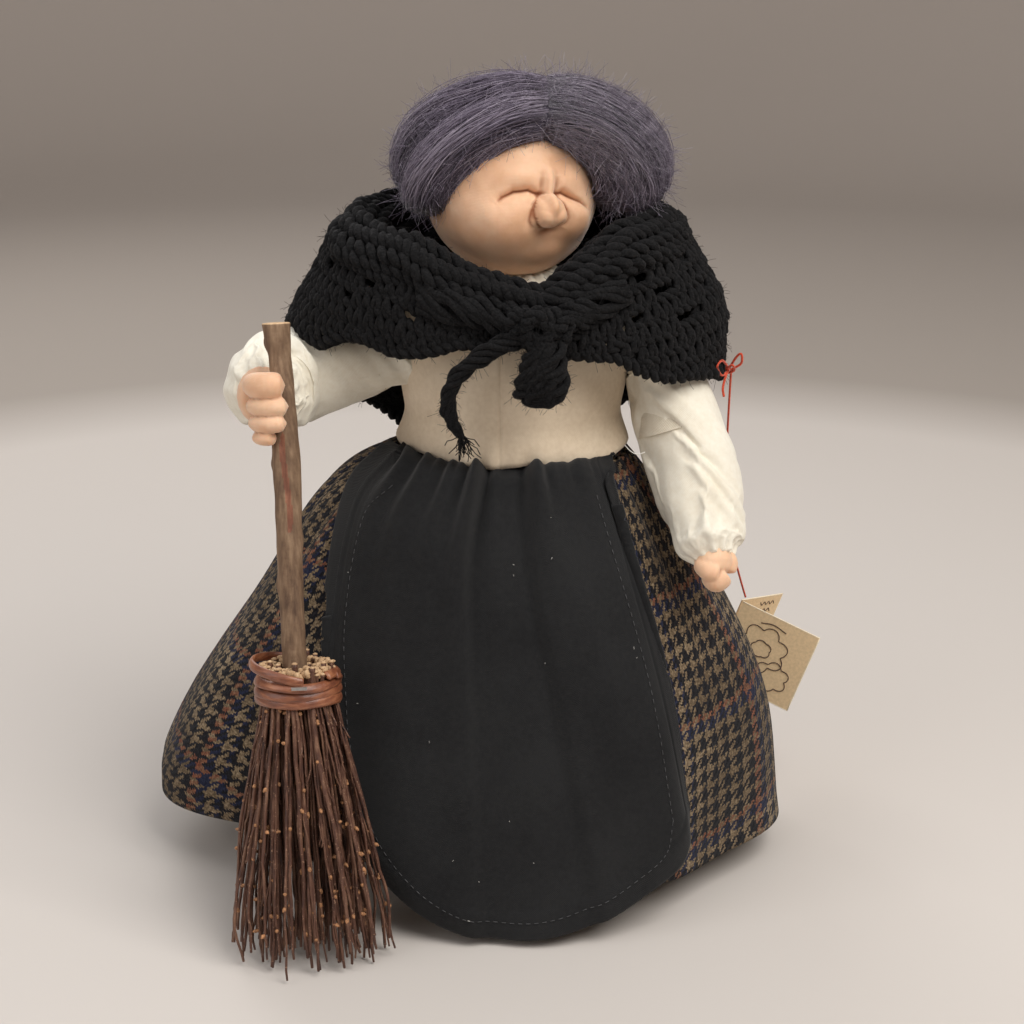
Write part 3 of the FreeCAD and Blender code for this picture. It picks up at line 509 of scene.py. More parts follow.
def simple(name, colour, rough=0.8, scale=300.0, vary=0.25, bump=0.25, distance=0.0004, **more):
    """A plain material with a little life in its tone and surface."""
    recipe = Recipe(name, rough=rough, **more)
    place = recipe.place()
    dark = tuple(channel * (1 - vary) for channel in colour)
    pale = tuple(min(1.0, channel * (1 + vary)) for channel in colour)
    texture = recipe.noise(scale, 4.0, at=place)
    recipe.put("Base Color", recipe.ramp(texture, (0.35, dark), (0.65, pale)))
    recipe.bump(recipe.noise(scale * 2.5, 3.0, at=place), bump, distance)
    return recipe.material


TWEED = tweed_material()
MUSLIN = woven("muslin", (0.90, 0.865, 0.755), (0.80, 0.735, 0.60), 0.00042, bump=0.30)
# a darker copy of the sleeve muslin: the bodice's beige tone with painted shade for the shade under the shawl
SHADED_BODICE_MUSLIN = woven("bodice_muslin_shaded", (0.78, 0.66, 0.505), (0.64, 0.515, 0.37), 0.00045, bump=0.30)
LINEN = woven("linen", (0.0155, 0.0158, 0.0165), (0.0070, 0.0070, 0.0078), 0.00048, sheen=0.10, bump=0.45,
              rough=0.95)
NET = woven("net", (0.55, 0.54, 0.50), (0.40, 0.39, 0.36), 0.0012, bump=0.9, uv=False)
CALICO = woven("calico", (0.76, 0.70, 0.58), (0.62, 0.55, 0.43), 0.0006, uv=False)
SKIN = skin_material()
YARN = yarn_material()
HAIR = hair_material("hair", (0.042, 0.034, 0.052), (0.150, 0.122, 0.170), (0.38, 0.335, 0.41))
BARK = wood_material("bark", (0.31, 0.205, 0.125), (0.180, 0.108, 0.062), (0.080, 0.042, 0.024))
CUT_WOOD = wood_material("cut_wood", (0.72, 0.52, 0.32), (0.55, 0.36, 0.20), (0.33, 0.19, 0.10), bump=0.3)
TWIG = wood_material("twig", (0.235, 0.125, 0.075), (0.100, 0.040, 0.023), (0.028, 0.010, 0.007),
                     specks=(0.28, 0.16, 0.10), rough=0.55)
SPLIT = wood_material("split", (0.33, 0.145, 0.085), (0.21, 0.080, 0.045), (0.10, 0.036, 0.022))
REED = wood_material("reed", (0.42, 0.170, 0.078), (0.215, 0.070, 0.032), (0.080, 0.022, 0.012),
                     grain=(14.0, 14.0, 90.0), rough=0.42, gloss=0.35, bump=0.5)
BASE_WOOD = wood_material("base_wood", (0.66, 0.48, 0.30), (0.52, 0.35, 0.20), (0.36, 0.22, 0.12),
                          grain=(6.0, 60.0, 60.0), bump=0.25)
FELT = simple("felt", (0.012, 0.022, 0.013), 1.0, 600.0, 0.4, 0.8, 0.0008, Sheen_Weight=0.2)
STEEL = simple("steel", (0.62, 0.62, 0.62), 0.32, 900.0, 0.08, 0.12, 0.0002, Metallic=1.0)
THREAD = simple("thread", (0.62, 0.060, 0.014), 0.8, 1800.0, 0.35, 0.8, 0.0003, Sheen_Weight=0.3)
CARD = simple("card", (0.76, 0.57, 0.345), 0.85, 700.0, 0.07, 0.2, 0.0002)
CARD_EDGE = simple("card_edge", (0.86, 0.74, 0.55), 0.9, 700.0, 0.05, 0.2, 0.0002)
INK = simple("ink", (0.11, 0.07, 0.05), 0.8, 900.0, 0.3, 0.1, 0.0001)
STITCH = simple("stitch", (0.060, 0.060, 0.063), 0.8, 900.0, 0.4, 0.3, 0.0002)
LINT = simple("lint", (0.60, 0.58, 0.54), 0.9, 900.0, 0.3, 0.1, 0.0001)
WHITE_THREAD = simple("white_thread", (0.80, 0.78, 0.72), 0.8, 900.0, 0.1, 0.3, 0.0002)


def dress(node, material):
    """A rigid CAD node that stays, with its material."""
    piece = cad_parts[node]
    piece.data.materials.clear()
    piece.data.materials.append(material)


for node, material, slot in (
    ("base_disc", BASE_WOOD, "wood"), ("base_felt", FELT, "felt"), ("base_screw", STEEL, "steel"),
    ("body_post", BASE_WOOD, "wood"), ("hip_form", CALICO, "calico"), ("torso_form", CALICO, "calico"),
    ("shoulder_wire", STEEL, "steel"), ("neck_form", SKIN, "skin"),
    ("right_upper_stuffing", CALICO, "calico"), ("right_upper_wire", STEEL, "steel"),
    ("right_forearm_stuffing", CALICO, "calico"), ("right_forearm_wire", STEEL, "steel"),
    ("left_upper_stuffing", CALICO, "calico"), ("left_upper_wire", STEEL, "steel"),
    ("left_forearm_stuffing", CALICO, "calico"), ("left_forearm_wire", STEEL, "steel"),
    ("broom_staple", STEEL, "steel"), ("tag_back_leaf", CARD, "card"), ("tag_front_leaf", CARD, "card"),
):
    dress(node, material)

FACE_YAW = math.radians(22.0)


def yawed(points, yaw, centre=(0.0, 0.0, 0.0)):
    """Points turned about the post's direction and then moved to centre."""
    points = np.asarray(points, float)
    c, s = math.cos(yaw), math.sin(yaw)
    x, y = points[..., 0] * c - points[..., 1] * s, points[..., 0] * s + points[..., 1] * c
    return np.stack([x, y, points[..., 2]], -1) + np.asarray(centre, float)


def outside_radius(tree, centre, angle, z, fallback):
    """Distance from (centre, z) to the outermost surface at an angle.

    The angle is measured from the front towards the doll's left.
    """
    direction = Vector((math.sin(angle), -math.cos(angle), 0))
    for higher in range(0, 60, 2):
        origin = Vector((centre[0], centre[1], z + higher))
        place = tree.ray_cast(origin + direction * 400, -direction)[0]
        if place is not None and (place - origin).dot(direction) > 0:
            return (place - origin).dot(direction)
    return fallback


# ---------------------------------------------------------------- skirt and petticoat
def skirt_like(node, inset, rows, columns, folds, top):
    """A gathered bell that follows a CAD bell's outside, with folds that open towards the hem."""
    tree = cad_tree(node)
    low, high = box_mm(node)
    angles = np.arange(columns) / columns * TAU
    points = np.zeros((rows, columns, 3))
    lean = math.tan(math.radians(3.0))
    for j, angle in enumerate(angles):
        for i in range(rows):
            t = i / (rows - 1)
            spread = math.sin(angle) * (40 + 110 * t)
            hem = low[2] + 0.8 + (high[0] - 20 * t - spread) * lean * 0.9
            z = top + (max(hem, low[2] + 0.6) - top) * t
            centre = ((low[0] + high[0]) / 2 * t, (low[1] + high[1]) / 2 * t)
            clear = min(max(z, low[2] + 12 * (1 - math.sin(angle)) + 0.7), high[2] - 0.4)
            radius = outside_radius(tree, centre, angle, clear, 50 + 100 * t)
            points[i, j] = (centre[0] + math.sin(angle) * radius, centre[1] - math.cos(angle) * radius, z)
    t = np.linspace(0, 1, rows)[:, None]
    a = angles[None, :]
    return points + radial(a, t) * (folds(a, t) - inset)[..., None]


def skirt_folds(a, t):
    """Radial rise of the skirt's cloth: fine gathers at the waist that join into deep soft folds at the hem."""
    front = np.exp(-((a - 0.05) / 0.62) ** 2) + np.exp(-((a - TAU - 0.05) / 0.62) ** 2)
    wide = np.sin(8 * a + 0.9 * np.sin(2 * a + 0.4) + 0.6 + 0.35 * t) * (5.8 * t ** 1.1)
    small = np.sin(15 * a + 1.7 * np.sin(3 * a) + 1.9 - 0.6 * t) * (2.6 * t ** 0.8)
    gather = np.sin(44 * a + 2.2 * np.sin(5 * a) + 3 * t) * 1.5 * np.exp(-t / 0.10)
    mid = np.sin(26 * a + 1.4 * np.sin(4 * a) + 1.1) * 1.3 * np.exp(-((t - 0.22) / 0.20) ** 2)
    return (wide + small) * (1 - 0.72 * front) + gather + mid


ROWS, COLUMNS = ((84, 560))
skirt_points = skirt_like("skirt", 0.8, ROWS, COLUMNS, skirt_folds, box_mm("skirt")[1][2])
along = cloth_length(skirt_points)
faces, corner_rows, corner_columns = grid_faces(ROWS, COLUMNS, wrap=True)
SKIRT_WIDTH = 0.9523
skirt_uv = np.stack([corner_columns / COLUMNS * SKIRT_WIDTH,
                     along[corner_rows, corner_columns % COLUMNS] * MM], -1)
skirt = build("skirt_cloth", skirt_points, faces, TWEED, skirt_uv)
skirt_tree = tree_of(skirt_points, faces)


def thicken(piece, thickness, offset=-1.0):
    """Cloth thickness, with its rim."""
    solid = piece.modifiers.new("thickness", "SOLIDIFY")
    solid.thickness = thickness * MM
    solid.offset = offset
    return piece


thicken(skirt, 1.4)
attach(skirt, "figure")
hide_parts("skirt")

net_points = skirt_like("petticoat", 1.0, 36, 220, lambda a, t: skirt_folds(a, t) * 0.5,
                        box_mm("petticoat")[1][2] - 0.5)
faces, corner_rows, corner_columns = grid_faces(36, 220, wrap=True)
petticoat = build("petticoat_net", net_points, faces, NET)
thicken(petticoat, 0.6)
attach(petticoat, "figure")
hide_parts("petticoat")

# the waistband: a soft gathered roll just above the skirt's top
low, high = box_mm("skirt_waistband")
turn = np.linspace(0, TAU, 181)[:-1]
half = (high - low) / 2
band_path = np.stack([np.sin(turn) * (half[0] - 2.6), -np.cos(turn) * (half[1] - 3.4),
                      np.full(180, (low[2] + high[2]) / 2 - 0.6)], -1)
band_radius = 2.6 + 0.55 * np.sin(40 * turn + 2 * np.sin(5 * turn))
band_sections = np.linspace(0, TAU, 13)[:-1]
outward = np.stack([np.sin(turn), -np.cos(turn), np.zeros(180)], -1)
band_points = band_path[:, None] + (outward[:, None] * np.cos(band_sections)[:, None] * 0.75
                                    + np.array([0, 0, 1.35])
                                    * np.sin(band_sections)[:, None]) * band_radius[:, None, None]
faces, corner_rows, corner_columns = grid_faces(180, 12, wrap=True)
closing = np.array([[179 * 12 + k, 179 * 12 + (k + 1) % 12, (k + 1) % 12, k] for k in range(12)])
corner_rows = np.concatenate([corner_rows, np.tile([179, 179, 180, 180], (12, 1))])
corner_columns = np.concatenate([corner_columns, np.array([[k, k + 1, k + 1, k] for k in range(12)])])
band_uv = np.stack([corner_rows / 180 * 0.34, corner_columns / 12 * 0.02], -1)
waistband = build("waistband_cloth", band_points, np.concatenate([faces, closing]), TWEED, band_uv)
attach(waistband, "figure")
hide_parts("skirt_waistband")


# ---------------------------------------------------------------- apron
apron_tree = cad_tree("apron")
bodice_tree = cad_tree("blouse_bodice")
low, high = box_mm("apron")


def apron_edges(count):
    """The flat outline as four curves in (x, z): left, right, top and bottom edge."""
    x0, x1, z0, z1 = low[0], high[0], low[2], high[2]
    def at(fx, fz):
        return (x0 + (x1 - x0) * fx, 0.0, z0 + (z1 - z0) * fz)
    left = curve_through([at(0.165, 0.995), at(0.055, 0.90), at(0.0, 0.67), at(0.006, 0.44)], count)
    right = curve_through([at(0.765, 0.995), at(0.80, 0.90), at(0.925, 0.56), at(0.995, 0.25)], count)
    bottom = curve_through([at(0.006, 0.44), at(0.045, 0.285), at(0.14, 0.145), at(0.315, 0.030),
                            at(0.52, 0.004),
                            at(0.73, 0.035), at(0.90, 0.105), at(0.975, 0.165), at(0.995, 0.25)], count)
    top = np.linspace(left[0], right[0], count)
    return left, right, top, bottom


def apron_depth(x, z):
    """The front of the apron at (x, z): its CAD surface, and clear of the skirt's cloth."""
    reach = from_front(apron_tree, x, max(z, low[2] + 1))
    near = apron_tree.find_nearest(Vector((x, -70, z)))[0] if reach is None else reach
    cloth = from_front(skirt_tree, x, z)
    y = near.y
    if cloth is not None:
        y = min(y, cloth.y - 2.2)
    tuck = float(smooth(214, 219.5, z))
    if tuck > 0:
        chest = from_front(bodice_tree, x, max(z, 219))
        if chest is not None:
            y = y * (1 - tuck) + (chest.y - 0.9) * tuck
    return y


ROWS, COLUMNS = ((170, 230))
left, right, _, _ = apron_edges(ROWS)
_, _, top, bottom = apron_edges(COLUMNS)
s, t = np.linspace(0, 1, COLUMNS)[None, :, None], np.linspace(0, 1, ROWS)[:, None, None]
flat = ((1 - s) * left[:, None] + s * right[:, None] + (1 - t) * top[None] + t * bottom[None]
        - (1 - s) * (1 - t) * left[0] - s * (1 - t) * right[0] - (1 - s) * t * left[-1] - s * t * right[-1])
depth = np.array([[apron_depth(x, z) for x, _, z in line] for line in flat])
apron_points = np.stack([flat[..., 0], depth, flat[..., 2]], -1)
for _ in range(6):
    inner = apron_points[1:-1, 1:-1, 1]
    around = (apron_points[:-2, 1:-1, 1] + apron_points[2:, 1:-1, 1] + apron_points[1:-1, :-2, 1]
              + apron_points[1:-1, 2:, 1]) / 4
    apron_points[1:-1, 1:-1, 1] = np.minimum(inner, inner * 0.4 + around * 0.6 + 0.05)
for _ in range(30):
    depth = np.pad(apron_points[..., 1], 1, mode="edge")
    depth = (depth[:-2, 1:-1] + depth[2:, 1:-1] + depth[1:-1, :-2] + depth[1:-1, 2:]) / 4
    apron_points[-26:, :, 1] = depth[-26:]


def apron_folds(s, t):
    """How far each place stands out: gathers at the waist, one deep box pleat and soft waves below."""
    rise = np.zeros(np.broadcast(s, t).shape)
    for place, width, depth, reach, drift in (
        (0.10, 0.016, 1.7, 0.28, 0.00), (0.18, 0.020, 2.6, 0.50, -0.02), (0.245, 0.014, 1.6, 0.20, 0.0),
        (0.29, 0.018, 2.4, 0.45, -0.015), (0.34, 0.012, 1.5, 0.16, 0.0), (0.385, 0.017, 2.6, 0.42, -0.01),
        (0.46, 0.018, 2.2, 0.80, -0.02), (0.62, 0.020, 2.4, 1.10, 0.01), (0.70, 0.012, 1.2, 0.10, 0.0),
        (0.80, 0.014, 1.2, 0.12, 0.0), (0.89, 0.013, 1.0, 0.10, 0.0),
    ):
        opened = width * (1 + 2.6 * t)
        rise -= 1.7 * depth * np.exp(-t / reach) * np.exp(-((s - place - drift * t) / opened) ** 2)
        rise += 0.9 * depth * np.exp(-t / reach) * np.exp(-((s - place - drift * t - 2.1 * opened)
                                                            / opened) ** 2)
    band = smooth(0.445, 0.475, s + 0.02 * t) * (1 - smooth(0.60, 0.635, s - 0.01 * t))
    rise -= band * 5.2 * np.exp(-t / 1.5)
    rise += (3.2 * np.exp(-((s - 0.425) / 0.034) ** 2) * np.exp(-t / 0.9)
             + 2.6 * np.exp(-((s - 0.655) / 0.036) ** 2) * np.exp(-t / 0.9))
    rise += 2.0 * t * np.sin(9.5 * s + 0.8) + 1.1 * t * np.sin(23 * s - 1.2 + 2 * t) + 3.0 * np.exp(-t / 0.25)
    return rise


def grid_normals(points):
    """Outward normals of an open grid whose front faces the viewer."""
    normal = np.cross(np.gradient(points, axis=1), np.gradient(points, axis=0))
    normal = unit(normal)
    flip = np.where(normal[..., 1:2] > 0, -1.0, 1.0)
    return normal * flip


S, T = np.linspace(0, 1, COLUMNS)[None, :], np.linspace(0, 1, ROWS)[:, None]
top_weight = smooth(0.0, 0.05, T)
edge = np.minimum(np.minimum(S, 1 - S) / 0.075, (1 - T) / 0.055)
rise = apron_folds(S, T) * (0.30 + 0.70 * top_weight) * smooth(0.0, 0.05, np.minimum(S, 1 - S) + T)
lift = 5.0 * smooth(0.0, 0.07, T) * np.exp(-T / 0.7) * smooth(0.03, 0.15, np.minimum(S, 1 - S))
hem_rise = 0.45 * (1 - smooth(0.95, 1.05, edge)) - 0.35 * np.exp(-((edge - 1.0) / 0.10) ** 2)
apron_points = apron_points + grid_normals(apron_points) * (rise + lift + hem_rise + 1.4
                                                            + 1.6 * smooth(0, 0.3, T))[..., None]
apron_points[..., 2] = np.maximum(apron_points[..., 2], 1.2)
for line in apron_points:
    for place in line:
        level = min(place[2], SKIRT_TOP)
        under = from_front(skirt_tree, place[0], level)
        if under is not None:
            place[1] = min(place[1], under.y - 1.3 + 0.6 * (place[2] - level))
along = cloth_length(apron_points)
faces, corner_rows, corner_columns = grid_faces(ROWS, COLUMNS)
apron_uv = np.stack([apron_points[corner_rows, corner_columns, 0] * MM,
                     along[corner_rows, corner_columns] * MM], -1)
apron = build("apron_cloth", apron_points, faces, LINEN, apron_uv)
apron_skin = tree_of(apron_points, faces)
thicken(apron, 0.8, 1.0)
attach(apron, "figure")
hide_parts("apron")

# hem stitches, 9 mm inside the edge
outline = np.concatenate([left, bottom[1:], right[::-1][1:]])
step = np.concatenate([[0], np.cumsum(np.linalg.norm(np.diff(outline, axis=0), axis=1))])
even = np.arange(4, step[-1] - 4, 0.7)
line = np.stack([np.interp(even, step, outline[:, k]) for k in (0, 2)], -1)
inward = np.gradient(line, axis=0)
inward = unit(np.stack([-inward[:, 1], inward[:, 0]], -1))
line = line + inward * 9.0
stitch_paths = []
for k in range(0, len(line) - 6, 6):
    places = []
    for x, z in line[k:k + 4]:
        found = from_front(apron_skin, x, z)
        if found is not None and z < 212:
            places.append((x, found.y - 0.55, z))
    if len(places) == 4:
        stitch_paths.append(places)
stitches = build("apron_stitches", *tubes(np.array(stitch_paths), 0.20, sides=5), STITCH)
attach(stitches, "figure")

# a few specks of lint on the apron
rng = np.random.default_rng(7)
specks = []
for _ in range(15):
    x, z = rng.uniform(low[0] + 10, high[0] - 10), rng.uniform(15, 205)
    found = from_front(apron_skin, x, z)
    if found is not None:
        start = np.array([x, found.y - 0.95, z])
        way = unit(rng.normal(size=3) * (1, 0.1, 1)) * rng.uniform(0.3, 1.3)
        specks.append([start, start + way * 0.5 + (0, -0.1, 0), start + way])
lint = build("apron_lint", *tubes(np.array(specks), 0.11, sides=4), LINT)
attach(lint, "figure")

# ---------------------------------------------------------------- bodice and collar
ROWS, COLUMNS = ((110, 360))
low, high = box_mm("blouse_bodice")
angles = np.arange(COLUMNS) / COLUMNS * TAU
bodice_points = np.zeros((ROWS, COLUMNS, 3))
for j, angle in enumerate(angles):
    bottom_z = 219.6 + 1.6 * (1 - math.cos(angle)) + 0.8 * math.sin(5 * angle + 0.7) + 0.5 * math.sin(11 * angle)
    for i in range(ROWS):
        t = i / (ROWS - 1)
        z = (high[2] - 0.3) + (bottom_z - high[2] + 0.3) * t
        radius = outside_radius(bodice_tree, (0, 0), angle, max(z, low[2] + 0.5), 40)
        bodice_points[i, j] = (math.sin(angle) * radius, -math.cos(angle) * radius, z)
a, t = angles[None, :], np.linspace(0, 1, ROWS)[:, None]
creases = (0.55 * noise(bodice_points, 9.0, 1) + 0.9 * noise(bodice_points * (1, 1, 0.45), 16.0, 2)
           + 0.7 * np.sin(17 * a + 3 * np.sin(3 * a)) * np.exp(-((1 - t) / 0.12) ** 2))
seam = -0.8 * np.exp(-(((np.sin(a - 0.03) * 54) + 8.5) / 0.9) ** 2) * (np.cos(a) > 0)
flare = 3.6 * smooth(0.76, 0.97, t) - 1.2 * smooth(0.97, 1.0, t)
bodice_points = bodice_points + radial(a, t) * (0.7 + creases + seam + flare)[..., None]
faces, corner_rows, corner_columns = grid_faces(ROWS, COLUMNS, wrap=True)
bodice_uv = np.stack([corner_columns / COLUMNS * 0.31, corner_rows / ROWS * 0.085], -1)
bodice = build("bodice_cloth", bodice_points, faces, SHADED_BODICE_MUSLIN, bodice_uv)
thicken(bodice, 0.8)
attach(bodice, "figure")
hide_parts("blouse_bodice")

# the neckband: a soft gathered frill that shows under the chin
turn = np.linspace(0, TAU, 121)[:-1]
levels = np.linspace(0, 1, 12)
ruffle = np.sin(19 * turn + 1.5 * np.sin(3 * turn))
collar = []
for level in levels:
    radius = 17 + 15 * (1 - level) ** 1.3 + ruffle * (0.9 + 0.6 * level)
    collar.append(np.stack([np.sin(turn) * radius + 2, -np.cos(turn) * radius * 1.05 - 1.5,
                            297.5 + 10.5 * level + 0.5 * ruffle * level], -1))
collar = np.array(collar)
faces, corner_rows, corner_columns = grid_faces(12, 120, wrap=True)
collar_cloth = build("neckband_cloth", collar, faces, MUSLIN,
                     np.stack([corner_columns / 120 * 0.16, corner_rows / 12 * 0.02], -1))
thicken(collar_cloth, 0.6)
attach(collar_cloth, "figure")
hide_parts("blouse_collar")


# ---------------------------------------------------------------- sleeves
def sleeve_shape(path, radii, rows, columns, folds):
    """A closed, stuffed sleeve along a path, with fold lines added to its radius."""
    line = curve_through(path, rows)
    knots = np.linspace(0, 1, len(radii))
    t = np.linspace(0, 1, rows)
    radius = np.interp(t, knots, radii)
    for _ in range(4):
        radius[1:-1] = (radius[:-2] + 2 * radius[1:-1] + radius[2:]) / 4
    heading = unit(np.gradient(line, axis=0))
    side = np.cross(heading[0], (0.1, 0.95, 0.2))
    frames = []
    for k in range(rows):
        side = unit(side - (side @ heading[k]) * heading[k])
        frames.append(side)
    side = np.array(frames)
    over = np.cross(heading, side)
    a = np.arange(columns) / columns * TAU
    around = np.cos(a)[:, None] * side[:, None] + np.sin(a)[:, None] * over[:, None]
    rise = folds(a[None, :], t[:, None], line[:, None] + around * radius[:, None, None])
    return line[:, None] + around * (radius[:, None] + rise)[..., None]


def right_folds(a, t, places):
    """Right sleeve: gathers at the cuff, slack creases inside the elbow."""
    cuff = np.exp(-((1 - t) / 0.13))
    rise = 1.5 * cuff * np.sin(15 * a + 2 * np.sin(2 * a)) + 0.8 * np.exp(-((1 - t) / 0.35)) * np.sin(9 * a + 1.3)
    elbow = np.exp(-((t - 0.52) / 0.16) ** 2)
    rise += 1.1 * elbow * np.sin(26 * t + 2.5 * np.sin(a + 0.6)) * (0.4 + 0.6 * np.sin(a + 2.2) ** 2)
    return rise + 1.2 * noise(places, 14.0, 3) + 0.45 * noise(places, 5.5, 4)


def left_folds(a, t, places):
    """Left sleeve: gathers at the cuff and a pouch of cloth above it."""
    cuff = np.exp(-((1 - t) / 0.09))
    rise = 1.5 * cuff * np.sin(13 * a + 2 * np.sin(2 * a)) + 1.0 * np.exp(-((1 - t) / 0.22)) * np.sin(7 * a + 0.4)
    pouch = np.exp(-((t - 0.86) / 0.06) ** 2)
    rise += 2.0 * pouch * smooth(-0.3, 0.9, np.sin(a - 0.5))
    return rise + 1.1 * noise(places, 15.0, 5) + 0.4 * noise(places, 6.0, 6)


def puff(piece, cap, steps=20):
    """Lets cloth pressure fill the sleeve, and keeps each point within cap millimetres of where it was."""
    mesh = piece.data
    count = len(mesh.vertices)
    start = np.zeros(count * 3, np.float32)
    mesh.vertices.foreach_get("co", start)
    start = start.reshape(-1, 3).astype(float)
    pins = piece.vertex_groups.new(name="pins")
    weights = np.zeros(count, np.float32)
    mesh.attributes["pin"].data.foreach_get("value", weights)
    for level in (0.5, 1.0):
        chosen = [int(k) for k in np.nonzero((weights >= level) & (weights < level + 0.5))[0]]
        pins.add(chosen, level, "REPLACE")
    cloth = piece.modifiers.new("cloth", "CLOTH")
    cloth.settings.quality = 5
    cloth.settings.mass = 0.05
    cloth.settings.tension_stiffness = cloth.settings.compression_stiffness = 12
    cloth.settings.bending_stiffness = 0.4
    cloth.settings.use_pressure = True
    cloth.settings.uniform_pressure_force = 4.0
    cloth.settings.shrink_min = -0.04
    cloth.settings.vertex_group_mass = "pins"
    cloth.settings.effector_weights.gravity = 0.0
    cloth.collision_settings.use_collision = False
    scene = bpy.context.scene
    cloth.point_cache.frame_start, cloth.point_cache.frame_end = 1, steps
    for number in range(1, steps + 1):
        scene.frame_set(number)
    result = piece.evaluated_get(bpy.context.evaluated_depsgraph_get()).to_mesh()
    moved = np.zeros(count * 3, np.float32)
    result.vertices.foreach_get("co", moved)
    piece.modifiers.remove(cloth)
    scene.frame_set(1)
    change = moved.reshape(-1, 3) - start
    length = np.linalg.norm(change, axis=1, keepdims=True)
    change *= np.minimum(1.0, cap * MM / np.maximum(length, 1e-9))
    if np.isfinite(change).all():
        mesh.vertices.foreach_set("co", (start + change).astype(np.float32).ravel())
        mesh.update()


def sleeve(name, path, radii, folds, nodes):
    """A closed sleeve that bends at the elbow; returns its points before the cloth pressure."""
    rows, columns = ((92, 120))
    points = sleeve_shape(path, radii, rows, columns, folds)
    ends = [ring.mean(0) + (ring - ring.mean(0)) * 0.06 for ring in (points[0], points[-1])]
    points = np.concatenate([ends[0][None], points, ends[1][None]])
    rows += 2
    faces, corner_rows, corner_columns = grid_faces(rows, columns, wrap=True)
    length = np.linalg.norm(np.diff(points.mean(1), axis=0), axis=1).sum()
    uv = np.stack([corner_columns / columns * 0.14, corner_rows / rows * length * MM], -1)
    pin = np.zeros((rows, columns))
    pin[:3] = pin[-3:] = 1.0
    pin[-9:-3] = 0.5
    piece = build(name, points, faces, MUSLIN, uv, attributes={"pin": pin})
    puff(piece, 1.6)
    smoother = piece.modifiers.new("fine", "SUBSURF")
    smoother.levels = smoother.render_levels = 1
    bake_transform(piece)
    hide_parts(*nodes)
    return points


right_sleeve_points = sleeve(
    "right_sleeve", [(-42, -7, 264), (-60, -8, 263), (-84, -9, 259.5), (-106, -13, 256), (-114.5, -28, 255),
                     (-114.5, -42, 256), (-111.5, -55, 257.5)],
    [13.0, 15.5, 19.5, 23.5, 23.5, 18.5, 12.0], right_folds,
    ("right_upper_sleeve", "right_forearm_sleeve"))
sleeve(
    "left_sleeve", [(56, -4, 272), (70, -8, 264), (79, -15, 242), (86.5, -24, 218), (91, -38, 198),
                    (93.5, -50, 184), (95.5, -56, 177.5)],
    [13.0, 17.0, 20.5, 21.5, 19.5, 15.5, 8.5], left_folds,
    ("left_upper_sleeve", "left_forearm_sleeve"))

# the seam along the right sleeve's front, a thin raised ridge of cloth
sleeve_tree = tree_of(right_sleeve_points, grid_faces(*right_sleeve_points.shape[:2], wrap=True)[0])
seam_places = []
for x, z in zip(np.linspace(-63, -101, 44), np.linspace(258.5, 252.0, 44)):
    found = from_front(sleeve_tree, x, z + 1.2 * math.sin(x * 0.16))
    if found is not None:
        seam_places.append((x, found.y + 0.25, found.z))
seam = build("right_sleeve_seam", *tubes(np.array(seam_places), 0.75, sides=6), MUSLIN)
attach(seam, "right_upper_arm")


# ---------------------------------------------------------------- hands
def stuffed(name, parts, voxel, rounds, crease_radius):
    """Several closed lumps joined into one stitched, stuffed skin; hollows between lumps get painted shade."""
    points, faces = joined(parts)
    rough = build(name + "_lumps", points, faces, SKIN)
    remesh = rough.modifiers.new("skin", "REMESH")
    remesh.mode = "VOXEL"
    remesh.voxel_size = voxel * MM
    remesh.use_smooth_shade = True
    soft = rough.modifiers.new("soft", "SMOOTH")
    soft.iterations = rounds
    soft.factor = 0.5
    evaluated = rough.evaluated_get(bpy.context.evaluated_depsgraph_get())
    mesh = bpy.data.meshes.new_from_object(evaluated)
    piece = bpy.data.objects.new(name, mesh)
    bpy.context.scene.collection.objects.link(piece)
    bpy.data.objects.remove(rough)
    mesh.materials.clear()
    mesh.materials.append(SKIN)
    paint_crease_shade(mesh, crease_radius)
    return piece


def paint_crease_shade(mesh, reach):
    """Writes how hollow each place is, from the smoothed surface above it, as painted shade in the hollows, and a flat
    warm tint.
    """
    count = len(mesh.vertices)
    co = np.zeros(count * 3, np.float32)
    mesh.vertices.foreach_get("co", co)
    co = co.reshape(-1, 3).astype(float)
    normals = np.zeros(count * 3, np.float32)
    mesh.vertices.foreach_get("normal", normals)
    normals = normals.reshape(-1, 3)
    edges = np.zeros(len(mesh.edges) * 2, np.int32)
    mesh.edges.foreach_get("vertices", edges)
    edges = edges.reshape(-1, 2)
    soft = co.copy()
    degree = np.bincount(edges.ravel(), minlength=count)[:, None]
    for _ in range(reach):
        total = np.zeros_like(soft)
        np.add.at(total, edges[:, 0], soft[edges[:, 1]])
        np.add.at(total, edges[:, 1], soft[edges[:, 0]])
        soft = 0.3 * soft + 0.7 * total / np.maximum(degree, 1)
    # painted shade: the deeper the hollow, the darker the skin there
    hollow = ((soft - co) * normals).sum(1) * 1000
    crease_shade = np.clip(hollow * 1.5 - 0.12, 0, 1)
    layer = mesh.attributes.get("crease_shade") or mesh.attributes.new("crease_shade", "FLOAT", "POINT")
    layer.data.foreach_set("value", crease_shade.astype(np.float32))
    # a flat, slight warm tint
    layer = mesh.attributes.get("warm_tint_and_shade") or mesh.attributes.new("warm_tint_and_shade", "FLOAT", "POINT")
    layer.data.foreach_set("value", np.full(count, 0.12, np.float32))


def lump(places, radii, reference=(0, 0, 1)):
    """One stuffed finger or palm: a fat closed tube through a few places."""
    line = curve_through(places, 16)
    t = np.linspace(0, 1, 16)
    radius = np.interp(t, np.linspace(0, 1, len(radii)),
                       radii) * np.sqrt(np.clip(1 - (2 * t - 1) ** 10, 0.03, 1))
    return tubes(line, radius[None], sides=18, flat=1.0, reference=reference)


